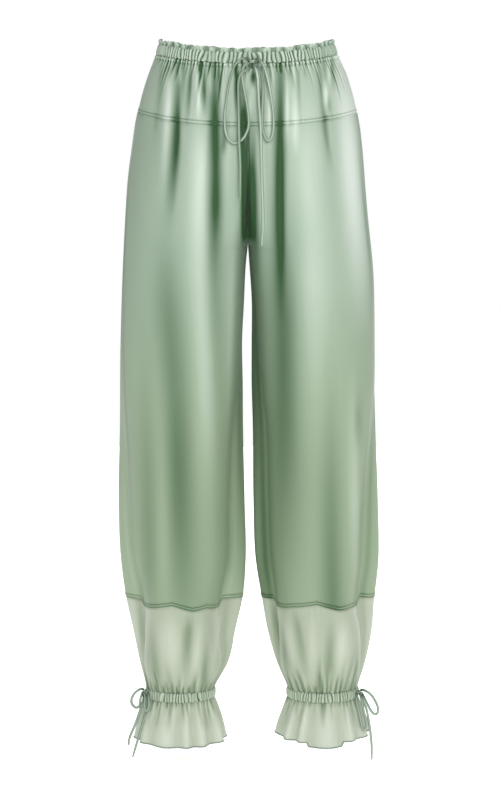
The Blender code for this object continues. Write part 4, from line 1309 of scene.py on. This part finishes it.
def buildAnkle(side):
    seed = ankles[side]["seed"]
    angle = allRound(cuff["columns"])[None, :]
    top, bottom, hemHeight = heightAt["ankleTop"], heightAt["ankleBottom"], heightAt["frillHem"]
    across, push, crest, ripple = gatheredBand(cuff, angle, seed)
    height = (top + bottom) / 2 + (top - bottom) / 2 * across
    outer, normals = anklePoints(side, height, 0, cuff["depth"], angle, push)
    outer[..., 2] += ripple
    # painted shade in the gathers' valleys and at the stitched edges, painted highlight on their crests
    fold = 0.85 * smooth(0.1, -1.0, crest) - 0.3 * smooth(0.4, 1.0, crest)
    fold = fold + 0.35 * smooth(0.8, 1.0, np.abs(across))
    casing = clothShell("ankleCasing" + side, outer, normals, cuff["wall"], True, "gathered", fold,
                        "ankle_casing_" + side)

    height = [*np.linspace(bottom + 1.5, bottom - 18, 14), *np.linspace(bottom - 20.5, hemHeight, 17)]
    height = np.array(height)[:, None]
    below = np.maximum(bottom - height, 0)
    fine = gatherWave(angle, cuff["gathers"], seed)
    chance = np.random.default_rng(seed + 3)
    phase = cuff["flutes"] * angle + 0.5
    strength = 1.0
    for times in (2, 3, 5):
        phase = phase + chance.uniform(0.3, 0.8) * np.sin(times * angle + chance.uniform(0, 6))
        strength = strength + 0.16 * np.sin(times * angle + chance.uniform(0, 6))
    flute = np.sin(phase) * strength
    push = read(flare, "flute", height) * flute + 0.9 * fine * (1 - smooth(0, 15, below))
    small, smallShade = creases(angle, below, "frill", seed + 5)
    push = push + small - 1.5 * smooth(bottom - 0.8, bottom + 0.6, height)
    outer, normals = anklePoints(side, height, read(flare, "flare", height), read(flare, "depth", height),
                                 angle, push)
    x, y = outer[..., 0], outer[..., 1]
    lobeStart, lobeEnd = cuff["lobe"]
    lobe = smooth(lobeStart - 2, lobeStart + 2, x) * smooth(lobeEnd + 2, lobeEnd - 2, x) * smooth(0, -12, y)
    outer[..., 2] += (ankles[side]["frillLift"] * (1 - lobe) + 0.4 * flute) * smooth(20, 62, below)
    # painted shade in the flutes' troughs, creases and by the casing, painted highlight on their crests, and
    # the frill painted lighter all over below the casing
    fold = (0.24 * smooth(0.3, -1, flute) - 0.15 * smooth(0.2, 1, flute) - 0.22) * smooth(0, 25, below)
    fold = fold + 0.75 * smallShade + 0.35 * smooth(0, -1.1, fine) * (1 - smooth(0, 14, below))
    fold = fold + 0.2 * (1 - smooth(0, 9, below))
    frill = clothShell("ankleFrill" + side, outer, normals, wallOf["organza"], True, "organza", fold,
                       "ankle_frill_" + side)
    hem = rolledHem("ankleHem" + side, outer[-1] - normals[-1] * cuff["hemIn"])


def rolledHem(name, edge):
    # the raw edge rolled and oversewn: a thin ring of cloth along the frill's lower edge
    around = allRound(cuff["hemSides"])[:, None]
    ahead = unit(np.roll(edge, -1, axis=0) - np.roll(edge, 1, axis=0))
    aside = unit(np.cross(ahead, (0, 0, 1)))
    up = np.cross(aside, ahead)
    rings = edge[:, None] + cuff["hemRoll"] * (aside[:, None] * np.cos(around) + up[:, None] * np.sin(around))
    hem = meshFrom(name, rings.reshape(-1, 3), tubeFaces(len(edge), cuff["hemSides"], True))
    dress(hem, "rolled")
    return hem


for side in ("L", "R"):
    buildAnkle(side)
print("ankles")
